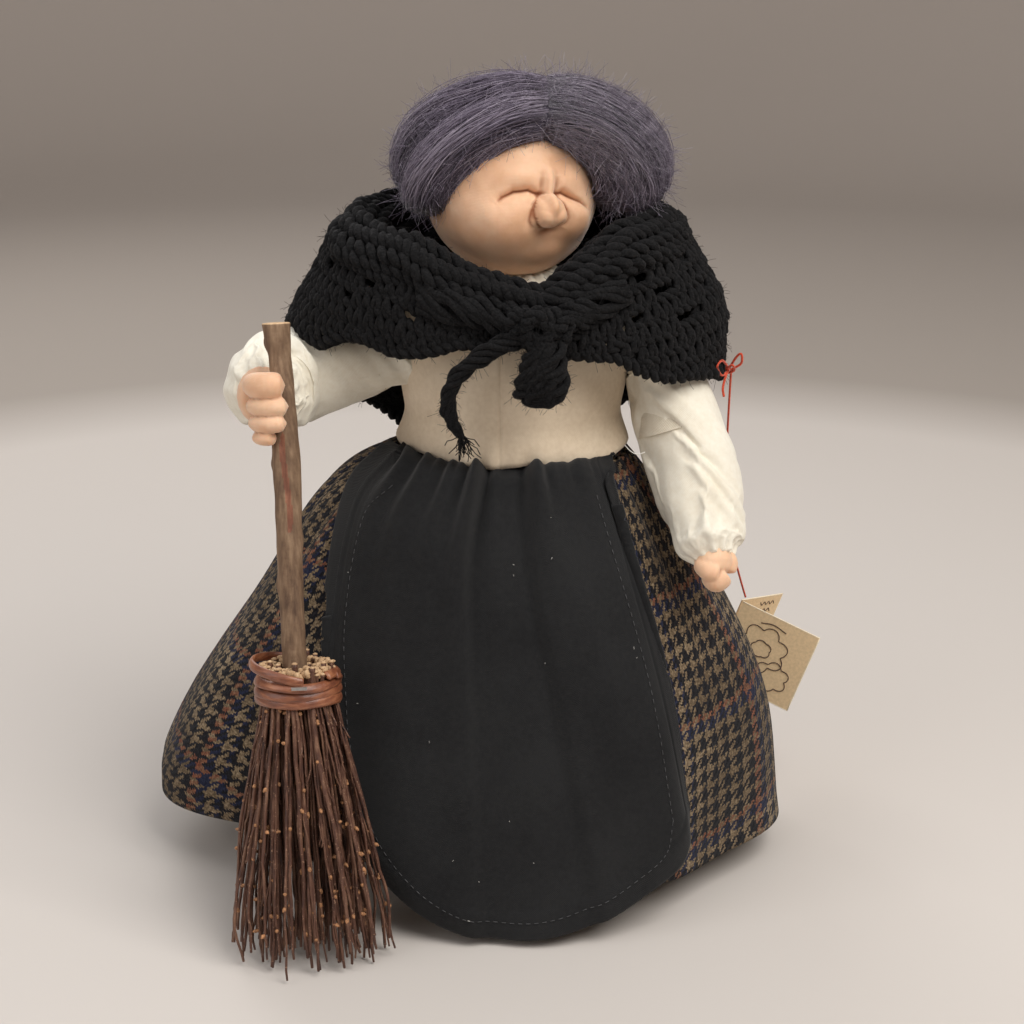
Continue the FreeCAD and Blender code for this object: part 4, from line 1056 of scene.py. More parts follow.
FOOT, GRIP = np.array([-94.0, -118.0, 0.0]), np.array([-104.0, -70.0, 253.0])
AXIS = unit(GRIP - FOOT)
AXIS_SIDE = unit(np.cross(AXIS, (0, 1, 0)))
AXIS_FRONT = np.cross(AXIS_SIDE, AXIS)
if AXIS_FRONT[1] > 0:
    AXIS_FRONT = -AXIS_FRONT
if AXIS_SIDE[0] < 0:
    AXIS_SIDE = -AXIS_SIDE


def by_handle(along_axis, side, front):
    """A place from its distance along the handle and off it.

    Side runs towards the doll's left, front towards the viewer.
    """
    return FOOT + AXIS * along_axis + AXIS_SIDE * side + AXIS_FRONT * front


def curled_finger(height, depth, reach):
    """A finger that comes round the stick's outer side and ends on its front."""
    ring = 6.8 + depth * 0.85
    angles = np.radians(np.linspace(-205, -78 + reach, 6))
    return lump([by_handle(height, ring * math.cos(a) * 1.02, -ring * math.sin(a)) for a in angles],
                [depth * 0.9, depth, depth * 1.08, depth * 1.12, depth * 1.05], reference=tuple(AXIS))


fingers = []
for height, rise, depth, reach in ((271.5, 5.6, 5.6, 4), (262.0, 4.1, 5.0, 10), (254.4, 3.8, 4.7, 4),
                                   (247.6, 3.0, 3.9, -26)):
    points, faces = curled_finger(height, depth, reach)
    centre_height = (points - FOOT) @ AXIS
    points = points + AXIS * ((centre_height - height) * (rise / depth - 1))[:, None]
    fingers.append((points, faces))
palm = lump([(-113, -46, 257), (-114.5, -54, 257), (-113.5, -61, 258)], [10.5, 12.5, 9.5])
palm = (palm[0] * (1, 1, 1.15) - (0, 0, 257 * 0.15), palm[1])
right_hand = stuffed("right_hand_skin", fingers + [palm], 0.62, 3, 14)
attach(right_hand, "right_forearm")
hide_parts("right_hand")

left_parts = [
    lump([(94.5, -52, 182), (95.5, -57, 176), (96.0, -60, 171.5)], [8.5, 9.2, 7.0]),
    lump([(88.5, -57, 176.5), (92.5, -63.5, 174.6), (97.5, -64.5, 173.6)], [4.2, 4.9, 4.2]),
    lump([(93.0, -58, 172.0), (96.5, -62.0, 169.6), (101.0, -60.5, 172.5)], [5.0, 6.2, 5.2]),
    lump([(101.5, -52, 179), (103.2, -55.5, 175.5), (102.6, -58, 171.2)], [3.8, 4.2, 3.4]),
]
left_hand = stuffed("left_hand_skin", left_parts, 0.6, 3, 14)
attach(left_hand, "left_forearm")
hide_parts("left_hand")

# ---------------------------------------------------------------- head
HEAD_CENTRE = np.array([0.0, 0.0, 340.0])
low, high = box_mm("head_skin")
HEAD_HALF = np.array([40.0, 40.0, (high[2] - low[2]) / 2])


def near_line(x, z, places):
    """Distance in the face's plane to a line through places, and how far along it."""
    places = np.asarray(places, float)
    best = np.full(x.shape, 1e9)
    share = np.zeros(x.shape)
    for k, (start, end) in enumerate(zip(places[:-1], places[1:])):
        way = end - start
        u = np.clip(((x - start[0]) * way[0] + (z - start[1]) * way[1]) / (way @ way), 0, 1)
        away = np.hypot(x - start[0] - u * way[0], z - start[1] - u * way[1])
        nearer = away < best
        best = np.where(nearer, away, best)
        share = np.where(nearer, (k + u) / (len(places) - 1), share)
    return best, share


def sculpt(x, z):
    """The stitched face as a rise in millimetres at face coordinates.

    x runs to the doll's left, z up from the head's centre.
    """
    def bulge(cx, cz, sx, sz, rise, power=2.0):
        return rise * np.exp(-(np.abs((x - cx) / sx) ** power + np.abs((z - cz) / sz) ** power))
    face = bulge(-18, -6, 14.5, 12.5, 6.0, 2.6) + bulge(17.0, -6, 9.5, 11.5, 5.4, 2.6)
    face += bulge(-3, -25, 20, 9.5, 3.4, 2.4)
    face += bulge(-11, 15.5, 11.5, 6.4, 3.3) + bulge(15, 12.5, 9.0, 6.2, 3.0)
    face += bulge(3, 28, 16, 9, 1.2)
    left_eye = ((-21.5, 3.5), (-18.9, 5.7), (-13.8, 8.2), (-7.1, 8.9), (-2.4, 6.6), (-1.6, 3.5))
    right_eye = ((5.2, 3.2), (6.6, 6.2), (9.5, 6.8), (14.1, 4.0), (19.0, 1.6), (23.5, -2.0))
    for line, width in ((left_eye, 1.5), (right_eye, 1.5)):
        away, share = near_line(x, z, line)
        fade = np.sin(np.clip(share, 0.02, 0.98) * math.pi) ** 0.45
        face -= 3.4 * fade * np.exp(-(away / width) ** 1.6)
        face -= 1.0 * fade * np.exp(-(away / (width * 3.2)) ** 2)
    for line, depth, width in ((((-0.6, 15), (-1.8, 10), (-2.0, 5)), 0.8, 2.0),
                               (((7.4, 15), (6.6, 10), (5.6, 5)), 1.1, 2.0),
                               (((-6.3, 2), (-8.0, -4), (-6.2, -9)), 1.1, 2.2),
                               (((9.2, 1), (10.8, -4), (9.0, -9)), 1.1, 2.2)):
        away, share = near_line(x, z, line)
        face -= depth * np.sin(np.clip(share, 0.05, 0.95) * math.pi) ** 0.6 * np.exp(-(away / width) ** 2)
    away, share = near_line(x, z, ((-14, -17.5), (-3, -14.5), (2, -13.2), (8, -14.5), (16, -17)))
    face -= 0.6 * np.sin(np.clip(share, 0.02, 0.98) * math.pi) * np.exp(-(away / 4.5) ** 2)
    ridge_x = 3.4 - 0.09 * (22 - z)
    ridge = np.exp(-(np.abs(x - ridge_x) / 2.3) ** 2.2) * smooth(24, 12, z) * smooth(-2, 4, z)
    face += 2.6 * ridge
    radius = ((x - 1.5) / 7.2) ** 2 + ((z + 0.4) / 7.8) ** 2
    knob = np.clip(1 - radius, 0, 1) ** 0.55
    wings = np.clip(1 - ((x + 3.6) / 4.2) ** 2 - ((z + 3.2) / 4.2) ** 2, 0,
                    1) ** 0.6 + np.clip(1 - ((x - 6.6) / 4.2) ** 2 - ((z + 3.4) / 4.2) ** 2, 0, 1) ** 0.6
    face += 8.6 * knob + 1.6 * wings * (1 - 0.4 * knob)
    face -= bulge(-3.0, -5.4, 1.5, 1.4, 2.0) + bulge(6.0, -5.7, 1.5, 1.4, 2.0)
    face -= bulge(1.4, -10.0, 5.0, 1.8, 1.7)
    return face


rings, spokes = ((300, 460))
tilt = np.linspace(0.004, math.pi - 0.004, rings)[:, None]
swing = (np.arange(spokes) / spokes * TAU)[None, :]
direction = np.stack([np.sin(tilt) * np.sin(swing), -np.sin(tilt) * np.cos(swing),
                      np.cos(tilt) + 0 * swing], -1)
egg = direction * HEAD_HALF
front = smooth(0.02, 0.55, -direction[..., 1])
rise = sculpt(egg[..., 0], egg[..., 2])
push = unit(direction * 0.55 + np.array([0, -1, -0.05]) * 0.45)
lumpy = 0.7 * noise(egg, 15.0, 8) + 0.35 * noise(egg, 7.0, 9)
head_points = egg + push * (rise * front)[..., None] + direction * (lumpy - 0.3)[..., None]
head_points = yawed(head_points, FACE_YAW, HEAD_CENTRE)
faces, _, _ = grid_faces(rings, spokes, wrap=True)
head_skin = build("head_skin_cloth", head_points, faces[:, ::-1], SKIN)
paint_crease_shade(head_skin.data, 26)
# painted shade: the lower face and a band under the cheeks are darkened warm brown, over a slight warm tint everywhere
warm_tint_and_shade = smooth(-9, -26, egg[..., 2]) * front * 0.9 + 0.5 * np.exp(-((egg[..., 2] + 11)
                                                                   / 5) ** 2) * front + 0.15
layer = head_skin.data.attributes["warm_tint_and_shade"]
layer.data.foreach_set("value", warm_tint_and_shade.astype(np.float32).ravel())
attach(head_skin, "head")
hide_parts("head_skin")

# the stuffing, kept 8 mm inside the skin so that no crease cuts into it
core = yawed(direction * (HEAD_HALF - 8.0), FACE_YAW, HEAD_CENTRE).reshape(rings, spokes, 3)[::5, ::5]
faces, _, _ = grid_faces(*core.shape[:2], wrap=True)
core = build("head_stuffing_core", core, faces[:, ::-1], CALICO)
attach(core, "head")
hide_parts("head_stuffing")


# ---------------------------------------------------------------- hair
HAIR_CENTRE, HAIR_HALF = np.array([8.0, 6.0, 352.0]), np.array([64.0, 53.0, 44.0])


def lock_surface(side, a, b, lift=0.0):
    """A lock's surface: a runs from the face's edge to the back, b from the part to the tips.

    Lift is in millimetres.
    """
    a, b = np.broadcast_arrays(np.asarray(a, float), np.asarray(b, float))
    crown = np.radians(36 + 116 * a)
    start = np.stack([np.full(a.shape, 0.136), -0.99 * np.cos(crown), 0.99 * np.sin(crown)], -1)
    front = 50 if side < 0 else 60
    around = np.radians(front + (180 - front) * a)
    tip = np.stack([side * 0.952 * np.sin(around), -0.952 * np.cos(around),
                    -0.42 - 0.22 * np.exp(-(a / 0.24) ** 2) - 0.24 * smooth(0.55, 0.9, a)], -1)
    turn = np.arccos(np.clip((unit(start) * unit(tip)).sum(-1), -1, 1))[..., None]
    way = (np.sin((1 - b[..., None]) * turn) * unit(start)
           + np.sin(b[..., None] * turn) * unit(tip)) / np.sin(turn)
    sag = np.exp(-(a / 0.16) ** 2) * np.sin(b * math.pi)
    way = unit(way + np.stack([side * (0.13 if side < 0 else 0.24) * sag, 0 * sag, 0.20 * sag], -1))
    reach = (1.0 - 0.055 * np.exp(-(b / 0.07) ** 2) - (0.22 if side < 0 else 0.36) * (1 - smooth(-0.02, 0.10, a))
             - 0.24 * smooth(0.86, 1.0, b) ** 1.5)
    if side < 0:
        reach = reach - 0.075 * np.exp(-((a - 0.27) / 0.05) ** 2) * smooth(0.05, 0.3, b) * (1 - smooth(0.8, 1, b))
    else:
        reach = reach + 0.03 * np.exp(-((a - 0.30) / 0.12) ** 2) * smooth(0.3, 0.8, b)
    reach = reach + 0.012 * np.sin(11 * a + 2.2 * b + side) + 0.010 * np.sin(23 * a - 3.0 * b)
    return HAIR_CENTRE + way * (HAIR_HALF * reach[..., None] + lift)


def lock(name, side, seed, node):
    """One lock of wool: an underlayer in the darkest tone as painted shade beneath the strands, many fine strands in
    clumps, fuzz that stands off it, and a frizz piece.
    """
    rng = np.random.default_rng(seed)
    rows = 60
    a, b = np.linspace(0, 1, rows)[:, None], np.linspace(0, 1, rows)[None, :]
    shell = lock_surface(side, a, b, -2.2 - 1.0 * np.sin(70 * a + 3 * b)[..., None] ** 2)
    shell_faces, _, _ = grid_faces(rows, rows)
    count = 1900
    steps = np.linspace(0, 1, 12)[None, :]
    from_face = rng.random((count, 1)) ** 0.9
    clumps = np.sort(rng.random(46))
    nearest = clumps[np.argmin(np.abs(from_face - clumps[None, :]), 1)][:, None]
    phase = nearest * 97.0
    begin, end = rng.uniform(-0.01, 0.12, (count, 1)), rng.uniform(0.88, 1.02, (count, 1))
    b = begin + (end - begin) * steps
    gather = smooth(0.05, 0.85, b) * 0.72
    a = from_face + (nearest - from_face) * gather + 0.012 * np.sin(b * 6.5 + phase) + rng.normal(0, 0.004, (count, 1))
    a = np.clip(a + rng.normal(0, 0.030, (count, 1)) * b
                + 0.010 * np.sin(b * rng.uniform(5, 14, (count, 1)) + rng.uniform(0, TAU, (count, 1))),
                -0.03, 1.02)
    height = (rng.uniform(-1.4, 1.7, (count, 1)) + 1.1 * np.sin(phase) * gather
              + 1.1 * np.sin(b * 6 + rng.uniform(0, TAU, (count, 1))))
    stray = rng.random((count, 1)) < 0.16
    height = height + stray * rng.uniform(0.5, 4.5, (count, 1)) * np.sin(b * math.pi)
    strands = lock_surface(side, a, np.clip(b, 0, 1.0), height[..., None])
    thick = np.where(stray, 0.13, rng.uniform(0.17, 0.36, (count, 1))) * np.interp(steps, [0, 0.15, 0.8, 1],
                                                                                   [0.5, 1, 1, 0.35])
    strand_points, strand_faces = tubes(strands, thick, sides=3)
    fuzz_count = 800
    fuzz_points, fuzz_faces = fibres(shell.reshape(-1, 3), shell_faces, fuzz_count, 11.0, 0.075, seed + 1,
                                     lift=0.55, droop=0.15)
    # painted shade: the underlayer beneath the strands takes the darkest wool tone
    shell_shade_tone = 0.10 * np.ones(rows * rows)
    tone = np.clip(0.42 + 0.20 * np.sin(phase * 3.1) + rng.normal(0, 0.17, (count, 1)), 0.02, 1)
    strand_tone = np.repeat(tone[:, 0], STRAND_POINTS)
    fuzz_tone = np.repeat(rng.uniform(0.35, 0.95, fuzz_count), FUZZ_POINTS)
    points, faces = joined([(shell, shell_faces), (strand_points, strand_faces), (fuzz_points, fuzz_faces)])
    piece = build(name, points, faces, HAIR,
                  attributes={"strand": np.concatenate([shell_shade_tone, strand_tone, fuzz_tone])})
    frizz_count = 3600
    outer = lock_surface(side, np.linspace(0, 1, rows)[:, None], np.linspace(0, 1, rows)[None, :],
                         0.8).reshape(-1, 3)
    frizz_points, frizz_faces = fibres(outer, shell_faces, frizz_count, 9.0, 0.07, seed + 2, lift=0.12,
                                       droop=0.1)
    frizz_tone = np.repeat(rng.uniform(0.15, 0.85, frizz_count), FUZZ_POINTS)
    frizz = build(name + "_frizz", frizz_points, frizz_faces, HAIR, attributes={"strand": frizz_tone})
    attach(frizz, "head")
    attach(piece, "head")
    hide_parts(node)


lock("hair_right_wool", -1, 21, "hair_right_lock")
lock("hair_left_wool", 1, 22, "hair_left_lock")

# ---------------------------------------------------------------- shawl
SHAWL_Z = (165, 215, 258, 283, 295, 318, 335, 345)
SHAWL_WIDTH = (97, 102, 104.5, 103.5, 99, 86, 69, 61)
SHAWL_DEPTH = (70, 66, 60, 59, 58, 56, 50, 46)
SHAWL_BACK = (6, 5, 2, 0, 0, 2, 5, 5)
TOP_TURN = (-180, -94, -44, -18, 7, 15, 37, 52, 81, 180)
TOP_EDGE = (336, 331, 323.5, 311, 304.5, 302.5, 316.5, 327, 331, 336)
LOW_TURN = (-180, -150, -134, -119, -100, -84, -70, -61, -48, -31, -17, 0, 28, 42, 56, 74, 83, 110, 150,
            180)
LOW_EDGE = (172, 205, 215, 228, 268, 283, 278, 281, 279, 279, 282, 284, 279, 273, 266, 258, 258, 250, 205,
            172)


def shawl_place(turn, z, out=0.0):
    """The shawl's surface at a turn in degrees (0 = front, 90 = the doll's left) and a height."""
    a = np.radians(turn)
    width, depth = np.interp(z, SHAWL_Z, SHAWL_WIDTH), np.interp(z, SHAWL_Z, SHAWL_DEPTH)
    radius = 1 / np.sqrt((np.sin(a) / width) ** 2 + (np.cos(a) / depth) ** 2)
    radius = radius + 1.6 * np.sin(5.2 * a + 0.06 * z) * smooth(330, 300, z) + out
    return np.stack([-1.5 + radius * np.sin(a), np.interp(z, SHAWL_Z, SHAWL_BACK) - radius * np.cos(a),
                     z + 0 * a], -1)


TURNS = np.linspace(-180, 180, 721)
LEVELS = np.linspace(0, 1, 90)
top_edge = np.interp(TURNS, TOP_TURN, TOP_EDGE)
low_edge = np.interp(TURNS, LOW_TURN, LOW_EDGE) + 2.0 * np.sin(np.radians(TURNS * 11))
sheet_z = top_edge[:, None] + (low_edge - top_edge)[:, None] * LEVELS
sheet_places = shawl_place(TURNS[:, None], sheet_z)
DOWN = np.concatenate([np.zeros((len(TURNS), 1)),
                       np.cumsum(np.linalg.norm(np.diff(sheet_places, axis=1), axis=2), 1)], 1)


def shawl_column(turn):
    """The number of the column of TURNS that lies at a turn."""
    return np.clip((np.asarray(turn) + 180) * 2, 0, 720).astype(int)


def on_shawl(turn, down, out=0.0):
    """A place on the shawl at a turn and a distance down its surface from the collar."""
    turn, down = np.broadcast_arrays(np.asarray(turn, float), np.asarray(down, float))
    column = shawl_column(turn)
    z = np.empty(turn.shape)
    flat_column, flat_down, flat_z = column.ravel(), down.ravel(), z.ravel()
    for k in range(flat_column.size):
        flat_z[k] = np.interp(flat_down[k], DOWN[flat_column[k]], sheet_z[flat_column[k]])
    return shawl_place(turn, flat_z.reshape(turn.shape), out)


def rope(line, radius, offset, period, strands=2, phase=0.0):
    """The strands of a twisted rope along a line of places."""
    line = np.asarray(line, float)
    gone = np.concatenate([[0], np.cumsum(np.linalg.norm(np.diff(line, axis=0), axis=1))])
    even = np.linspace(0, gone[-1], max(int(gone[-1] / (1.3)), 4))
    line = np.stack([np.interp(even, gone, line[:, k]) for k in range(3)], -1)
    line = line + np.stack([noise(line, 6.5, phase + k) for k in range(3)], -1) * 1.1
    heading = unit(np.gradient(line, axis=0))
    side = unit(np.cross(heading, (0.05, 0.1, 1.0)))
    over = np.cross(heading, side)
    paths = []
    for k in range(strands):
        angle = even / period * TAU + phase + k * TAU / strands
        paths.append(line + (side * np.cos(angle)[:, None] + over * np.sin(angle)[:, None]) * offset
                     * (1 + 0.35 * noise(line, 9.0, phase + 5))[:, None])
    return [(path, radius) for path in paths]


ROW_PITCH, POST_PITCH = 8.3, 5.6
rng = np.random.default_rng(31)
row_wander = rng.normal(0, 0.5, (60, 9))
HOLES = ((-57, 16, 5.5), (-62, 28, 4.0), (55, 22, 5.0), (62, 32, 5.0), (68, 44, 5.0), (40, 44, 4.5),
         (50, 36, 4.0), (-40, 28, 3.2), (165, 90, 4.5))


def row_down(row, turn):
    """How far down row number row lies at a turn, a little uneven as handwork is."""
    wander = sum(row_wander[row % 60, k] * np.sin(np.radians(turn) * (k + 1) * 2 + k)
                 for k in range(9)) * 0.45
    return row * ROW_PITCH + wander


yarns = {-1: [], 1: []}
limits = DOWN[:, -1]
for row in range(1, 40):
    down = row_down(row, TURNS)
    inside = down < limits - 2.0
    edges = np.flatnonzero(np.diff(np.concatenate([[0], inside.astype(int), [0]])))
    for first, last in zip(edges[::2], edges[1::2]):
        if last - first < 12:
            continue
        for low_turn, high_turn, side in ((first, min(last, 361), -1), (max(first, 360), last, 1)):
            if high_turn - low_turn < 8:
                continue
            line = on_shawl(TURNS[low_turn:high_turn], down[low_turn:high_turn], 0.4 * np.sin(row))
            yarns[side] += rope(line, 1.75, 1.45, 9.0, phase=row)
# posts between the rows: two legs in a V, left out where the photograph shows a gap
for row in range(0, 40):
    turn = -180.0 + (row % 2) * 1.6
    while turn < 180:
        column = int(shawl_column(turn))
        here, there = float(row_down(row, turn)) if row else 0.0, float(row_down(row + 1, turn))
        reach = limits[column]
        step = float(np.linalg.norm(np.asarray(on_shawl(turn + 1, here))
                                    - np.asarray(on_shawl(turn, here))))
        jump = POST_PITCH / max(step, 0.3)
        if here < reach - 1.0:
            there = min(there, reach)
            open_here = any(np.hypot((turn - hole[0]) * 1.5, (here + there) / 2 - hole[1]) < hole[2]
                            for hole in HOLES) or rng.random() < 0.025
            if not open_here:
                for lean in (-0.36, 0.36):
                    levels = np.linspace(-0.12, 1.12, 6)
                    places = on_shawl(turn + jump * (lean * levels + rng.normal(0, 0.04)),
                                      here + (there - here) * levels,
                                      1.7 * np.sin(np.clip(levels, 0, 1) * math.pi) + rng.normal(0, 0.3))
                    yarns[-1 if turn < 0 else 1].append((places, 1.7))
        turn += jump
# the thick rolled collar, and the border along the lower edge
for side, turns in ((-1, TURNS[:361]), (1, TURNS[360:])):
    for down, out, radius, offset, period, phase in ((0.5, 2.0, 2.5, 2.3, 15, 0),
                                                     (6.5, 3.4, 2.3, 2.2, 13, 2),
                                                     (12.0, 2.2, 2.2, 1.9, 12, 1),
                                                     (-3.0, -3.0, 2.3, 2.0, 14, 3)):
        line = on_shawl(turns, max(down, 0.0),
                        out + 0.9 * np.sin(np.radians(turns) * 9 + down)) - (0, 0, min(down, 0.0))
        yarns[side] += rope(line, radius, offset, period, 3 if radius > 2.4 else 2, phase)
    for inner in range(1, 7):
        reach = np.hypot(*(on_shawl(turns, 0.0)[:, :2] - (0.0, 2.0)).T)
        inward = np.minimum(6.4 * inner, np.maximum(reach - 44.0, 0.0))
        line = on_shawl(turns, 0.0, -inward) - np.stack([0 * turns, 0 * turns,
                                                         0.030 * inward ** 2 - 1.5
                                                         + 1.2 * np.sin(np.radians(turns) * 5 + inner)], -1)
        open_way = inward > 6.4 * (inner - 1) + 1.5
        edges = np.flatnonzero(np.diff(np.concatenate([[0], open_way.astype(int), [0]])))
        for first, last in zip(edges[::2], edges[1::2]):
            if last - first > 16:
                yarns[side] += rope(line[first:last], 2.4, 2.0, 13, 2, inner)
    ends = on_shawl(turns, limits[shawl_column(turns)], 0.3)
    yarns[side] += rope(ends, 2.0, 1.6, 10.5, 2, 0.5)


def knitted(name, strands):
    """Many yarn strands of different lengths as one mesh."""
    parts = [tubes(path, radius, sides=6) for path, radius in strands]
    points, faces = joined(parts)
    piece = build(name, points, faces, YARN)
    return piece, points, faces


def fuzzed(name, points, faces, count, length, radius, seed):
    """Short loose fibres that stand off yarn."""
    made = build(name, *fibres(points, faces, count, length, radius, seed,
                               lift=0.8), YARN)
    return made


for side, name, arm in ((-1, "shawl_right_half", "right_upper_arm"),
                        (1, "shawl_left_half", "left_upper_arm")):
    piece, points, faces = knitted(name, yarns[side])
    fuzz = fuzzed(name + "_fuzz", points, faces, 5200, 3.6, 0.085, 40 + side)
    for made in (piece, fuzz):
        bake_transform(made)
    # the close ground of stitches between the ropes, open where the photograph shows a gap
    turns, downs = np.linspace(-180, 0, 181) * -side, np.linspace(0, 1, 60)
    reach = limits[shawl_column(turns)]
    ground = on_shawl(turns[:, None], reach[:, None] * downs, -1.3)
    ground_faces, ground_rows, ground_columns = grid_faces(181, 60)
    middle_turn, middle_down = turns[ground_rows].mean(1), (reach[ground_rows]
                                                            * downs[ground_columns]).mean(1)
    gaps = np.zeros(len(ground_faces), bool)
    for hole in HOLES:
        gaps |= np.hypot((middle_turn - hole[0]) * 1.5, middle_down - hole[1]) < hole[2] + 2.0
    ground = build(name + "_ground", ground, ground_faces[~gaps], YARN)
    thicken(ground, 0.8)
    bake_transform(ground)
    if side < 0:
        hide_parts("shawl")


def bundle(places, widths, depths, count, seed, radius=1.7, turns=1.4):
    """A flattened bundle of yarns that turn slowly round one another."""
    rng = np.random.default_rng(seed)
    line = curve_through(places, 46)
    t = np.linspace(0, 1, 46)
    width = np.interp(t, np.linspace(0, 1, len(widths)), widths)[:, None]
    depth = np.interp(t, np.linspace(0, 1, len(depths)), depths)[:, None]
    heading = unit(np.gradient(line, axis=0))
    side = unit(np.cross(heading, (0, 1, 0.05)))
    over = np.cross(heading, side)
    strands = []
    for k in range(count):
        angle = k * TAU / count + t[:, None] * turns * TAU + 0.5 * np.sin(9 * t + k)[:, None]
        path = (line + side * np.cos(angle) * (width - radius) * (0.75 + 0.25 * math.sin(k * 2.4))
                + over * np.sin(angle) * np.maximum(depth - radius, 0.4))
        path = path + noise(path, 4.0, seed + k)[:, None] * 0.5
        length = int(46 * (1 - 0.12 * rng.random() * (k % 3)))
        strands.append((path[:length], np.interp(t[:length], [0, 0.9, 1], [radius, radius, radius * 0.6])))
    return strands


knot = []
for k, (lean, wide, tall, fore) in enumerate(((8, 14.5, 9.5, 0), (-14, 13.5, 8.5, -2.5),
                                              (24, 12.0, 8.0, -3.5), (-32, 11.0, 7.5, -4.5),
                                              (80, 8.0, 10.0, -5.5), (64, 7.0, 9.0, -6.0))):
    turn = np.linspace(0, TAU, 34)
    c, s = math.cos(math.radians(lean)), math.sin(math.radians(lean))
    x, z = np.cos(turn) * wide, np.sin(turn) * tall * 0.55
    loop = np.stack([11.5 + x * c - z * s, -63.0 + fore - 1.5 * np.cos(2 * turn + k),
                     291.5 + x * s + z * c], -1)
    knot += rope(loop, 2.1, 1.5, 9.0, 2, k)
knot += bundle([(-42, -55, 302), (-22, -60, 299), (-2, -62, 294), (12, -64, 291)], [8, 9, 8, 5],
               [4, 5, 5, 4], 9, 51, 2.0)
knot += bundle([(52, -50, 306), (36, -57, 299), (24, -62, 295), (12, -64, 291)], [8, 9, 8, 5], [4, 5, 5, 4],
               9, 52, 2.0)
narrow = bundle([(6, -66, 289), (-6, -66, 283), (-17, -64, 276), (-26, -61.5, 267), (-29.5, -58, 256),
                 (-28, -55, 245), (-23, -53.5, 237)],
                [5.5, 5.5, 5.0, 4.6, 4.2, 3.6, 2.0], [4.2, 4.0, 3.6, 3.2, 3.0, 2.6, 1.6], 7, 53, 1.55, 2.2)
blunt = bundle([(13, -67, 288), (15, -69, 280), (14, -68.5, 270), (12.5, -67, 262), (11.5, -65.5, 256.5)],
               [7.0, 11.5, 13.0, 13.0, 11.0], [5, 6, 6, 5.5, 4.0], 14, 54, 2.0, 1.2)
blunt += bundle([(10, -68, 284), (12, -71.5, 276), (13, -71.5, 266), (13, -69, 258)], [4.0, 7.0, 8.5, 7.0],
                [3.0, 3.4, 3.0, 2.4], 9, 55, 1.8, 0.8)
tie, points, faces = knitted("shawl_knot", knot + narrow + blunt)
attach(tie, "figure")
tie_fuzz = fuzzed("shawl_knot_fuzz", points, faces, 3600, 3.4, 0.085, 61)
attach(tie_fuzz, "figure")
# the frayed end
frayed = []
rng = np.random.default_rng(62)
for _ in range(44):
    start = np.array([-23.0, -53.5, 237.5]) + rng.normal(0, 1.1, 3)
    way = np.array([rng.normal(1.0, 3.6), rng.normal(0, 1.5), -rng.uniform(3, 11)])
    frayed.append([start, start + way * 0.35 + rng.normal(0, 0.5, 3),
                   start + way * 0.7 + rng.normal(0, 0.9, 3), start + way])
frayed = build("shawl_frayed_end", *tubes(np.array(frayed), 0.22, sides=4), YARN)
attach(frayed, "figure")

# ---------------------------------------------------------------- broom
stick_bottom, stick_top = 66.0, (293.0 - FOOT[2]) / AXIS[2]
ROWS, COLUMNS = ((260, 72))
along = np.linspace(stick_bottom, stick_top, ROWS)[:, None]
angle = (np.arange(COLUMNS) / COLUMNS * TAU)[None, :]
height = along * AXIS[2]
thick = np.interp(height, (66, 172, 200, 228, 250, 268, 279, 286, 296),
                  (5.6, 5.9, 6.2, 6.5, 5.9, 5.4, 4.9, 5.6, 6.4))
side_way = 0.7 * np.sin(along / 31) - 0.6 * smooth(277, 292, height)
radius = thick * (1 + 0.05 * np.cos(2 * angle + along / 60) + 0.035 * np.cos(3 * angle - along / 45))
radius = radius + 0.30 * noise(np.stack([np.cos(angle) * 6 + 0 * along, np.sin(angle) * 6 + 0 * along,
                                         along * 0.35 + 0 * angle], -1), 2.2, 3)
for knob_height, knob_angle, rise in ((231, 2.7, 2.0), (196, 0.7, 1.3), (284, 2.6, 2.2), (262, -0.9, 0.8),
                                      (176, 3.4, 1.2)):
    away = (height - knob_height) ** 2 / 16 + (np.angle(np.exp(1j * (angle - knob_angle))) * 6) ** 2 / 9
    radius = radius + rise * np.exp(-away)
split = np.exp(-((np.angle(np.exp(1j * (angle + math.pi / 2 + 0.15 * np.sin(along / 9)))) * 6.2)
                 / 1.5) ** 2) * smooth(196, 204, height) * smooth(249, 240, height)
radius = radius - 0.8 * split
stick_points = by_handle(along[..., None], 0,
                         0) + AXIS_SIDE * (np.cos(angle) * radius
                                           + side_way)[..., None] - AXIS_FRONT * (np.sin(angle) * radius)[..., None]
stick_points = stick_points.reshape(-1, 3)
top_ring = stick_points[-COLUMNS:]
top_centre = top_ring.mean(0)
caps = []
for scale, rise in ((0.93, 0.5), (0.6, 0.65), (0.3, 0.7), (0.04, 0.7)):
    caps.append(top_centre + (top_ring - top_centre) * scale + AXIS * rise)
bottom_ring = stick_points[:COLUMNS]
bottom = [bottom_ring.mean(0) + (bottom_ring - bottom_ring.mean(0)) * 0.05 - AXIS * 0.6]
stick_points = np.concatenate(bottom + [stick_points] + caps)
faces, _, _ = grid_faces(ROWS + 5, COLUMNS, wrap=True)
which = np.zeros(len(faces), int)
which[-4 * COLUMNS:] = 1
split_faces = (split[:-1] > 0.45).astype(int) * 2
which[COLUMNS:COLUMNS + split_faces.size] = split_faces.ravel()
stick = build("broom_stick", stick_points, faces, [BARK, CUT_WOOD, SPLIT], face_material=which)
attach(stick, "broom")
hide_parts("broom_handle")

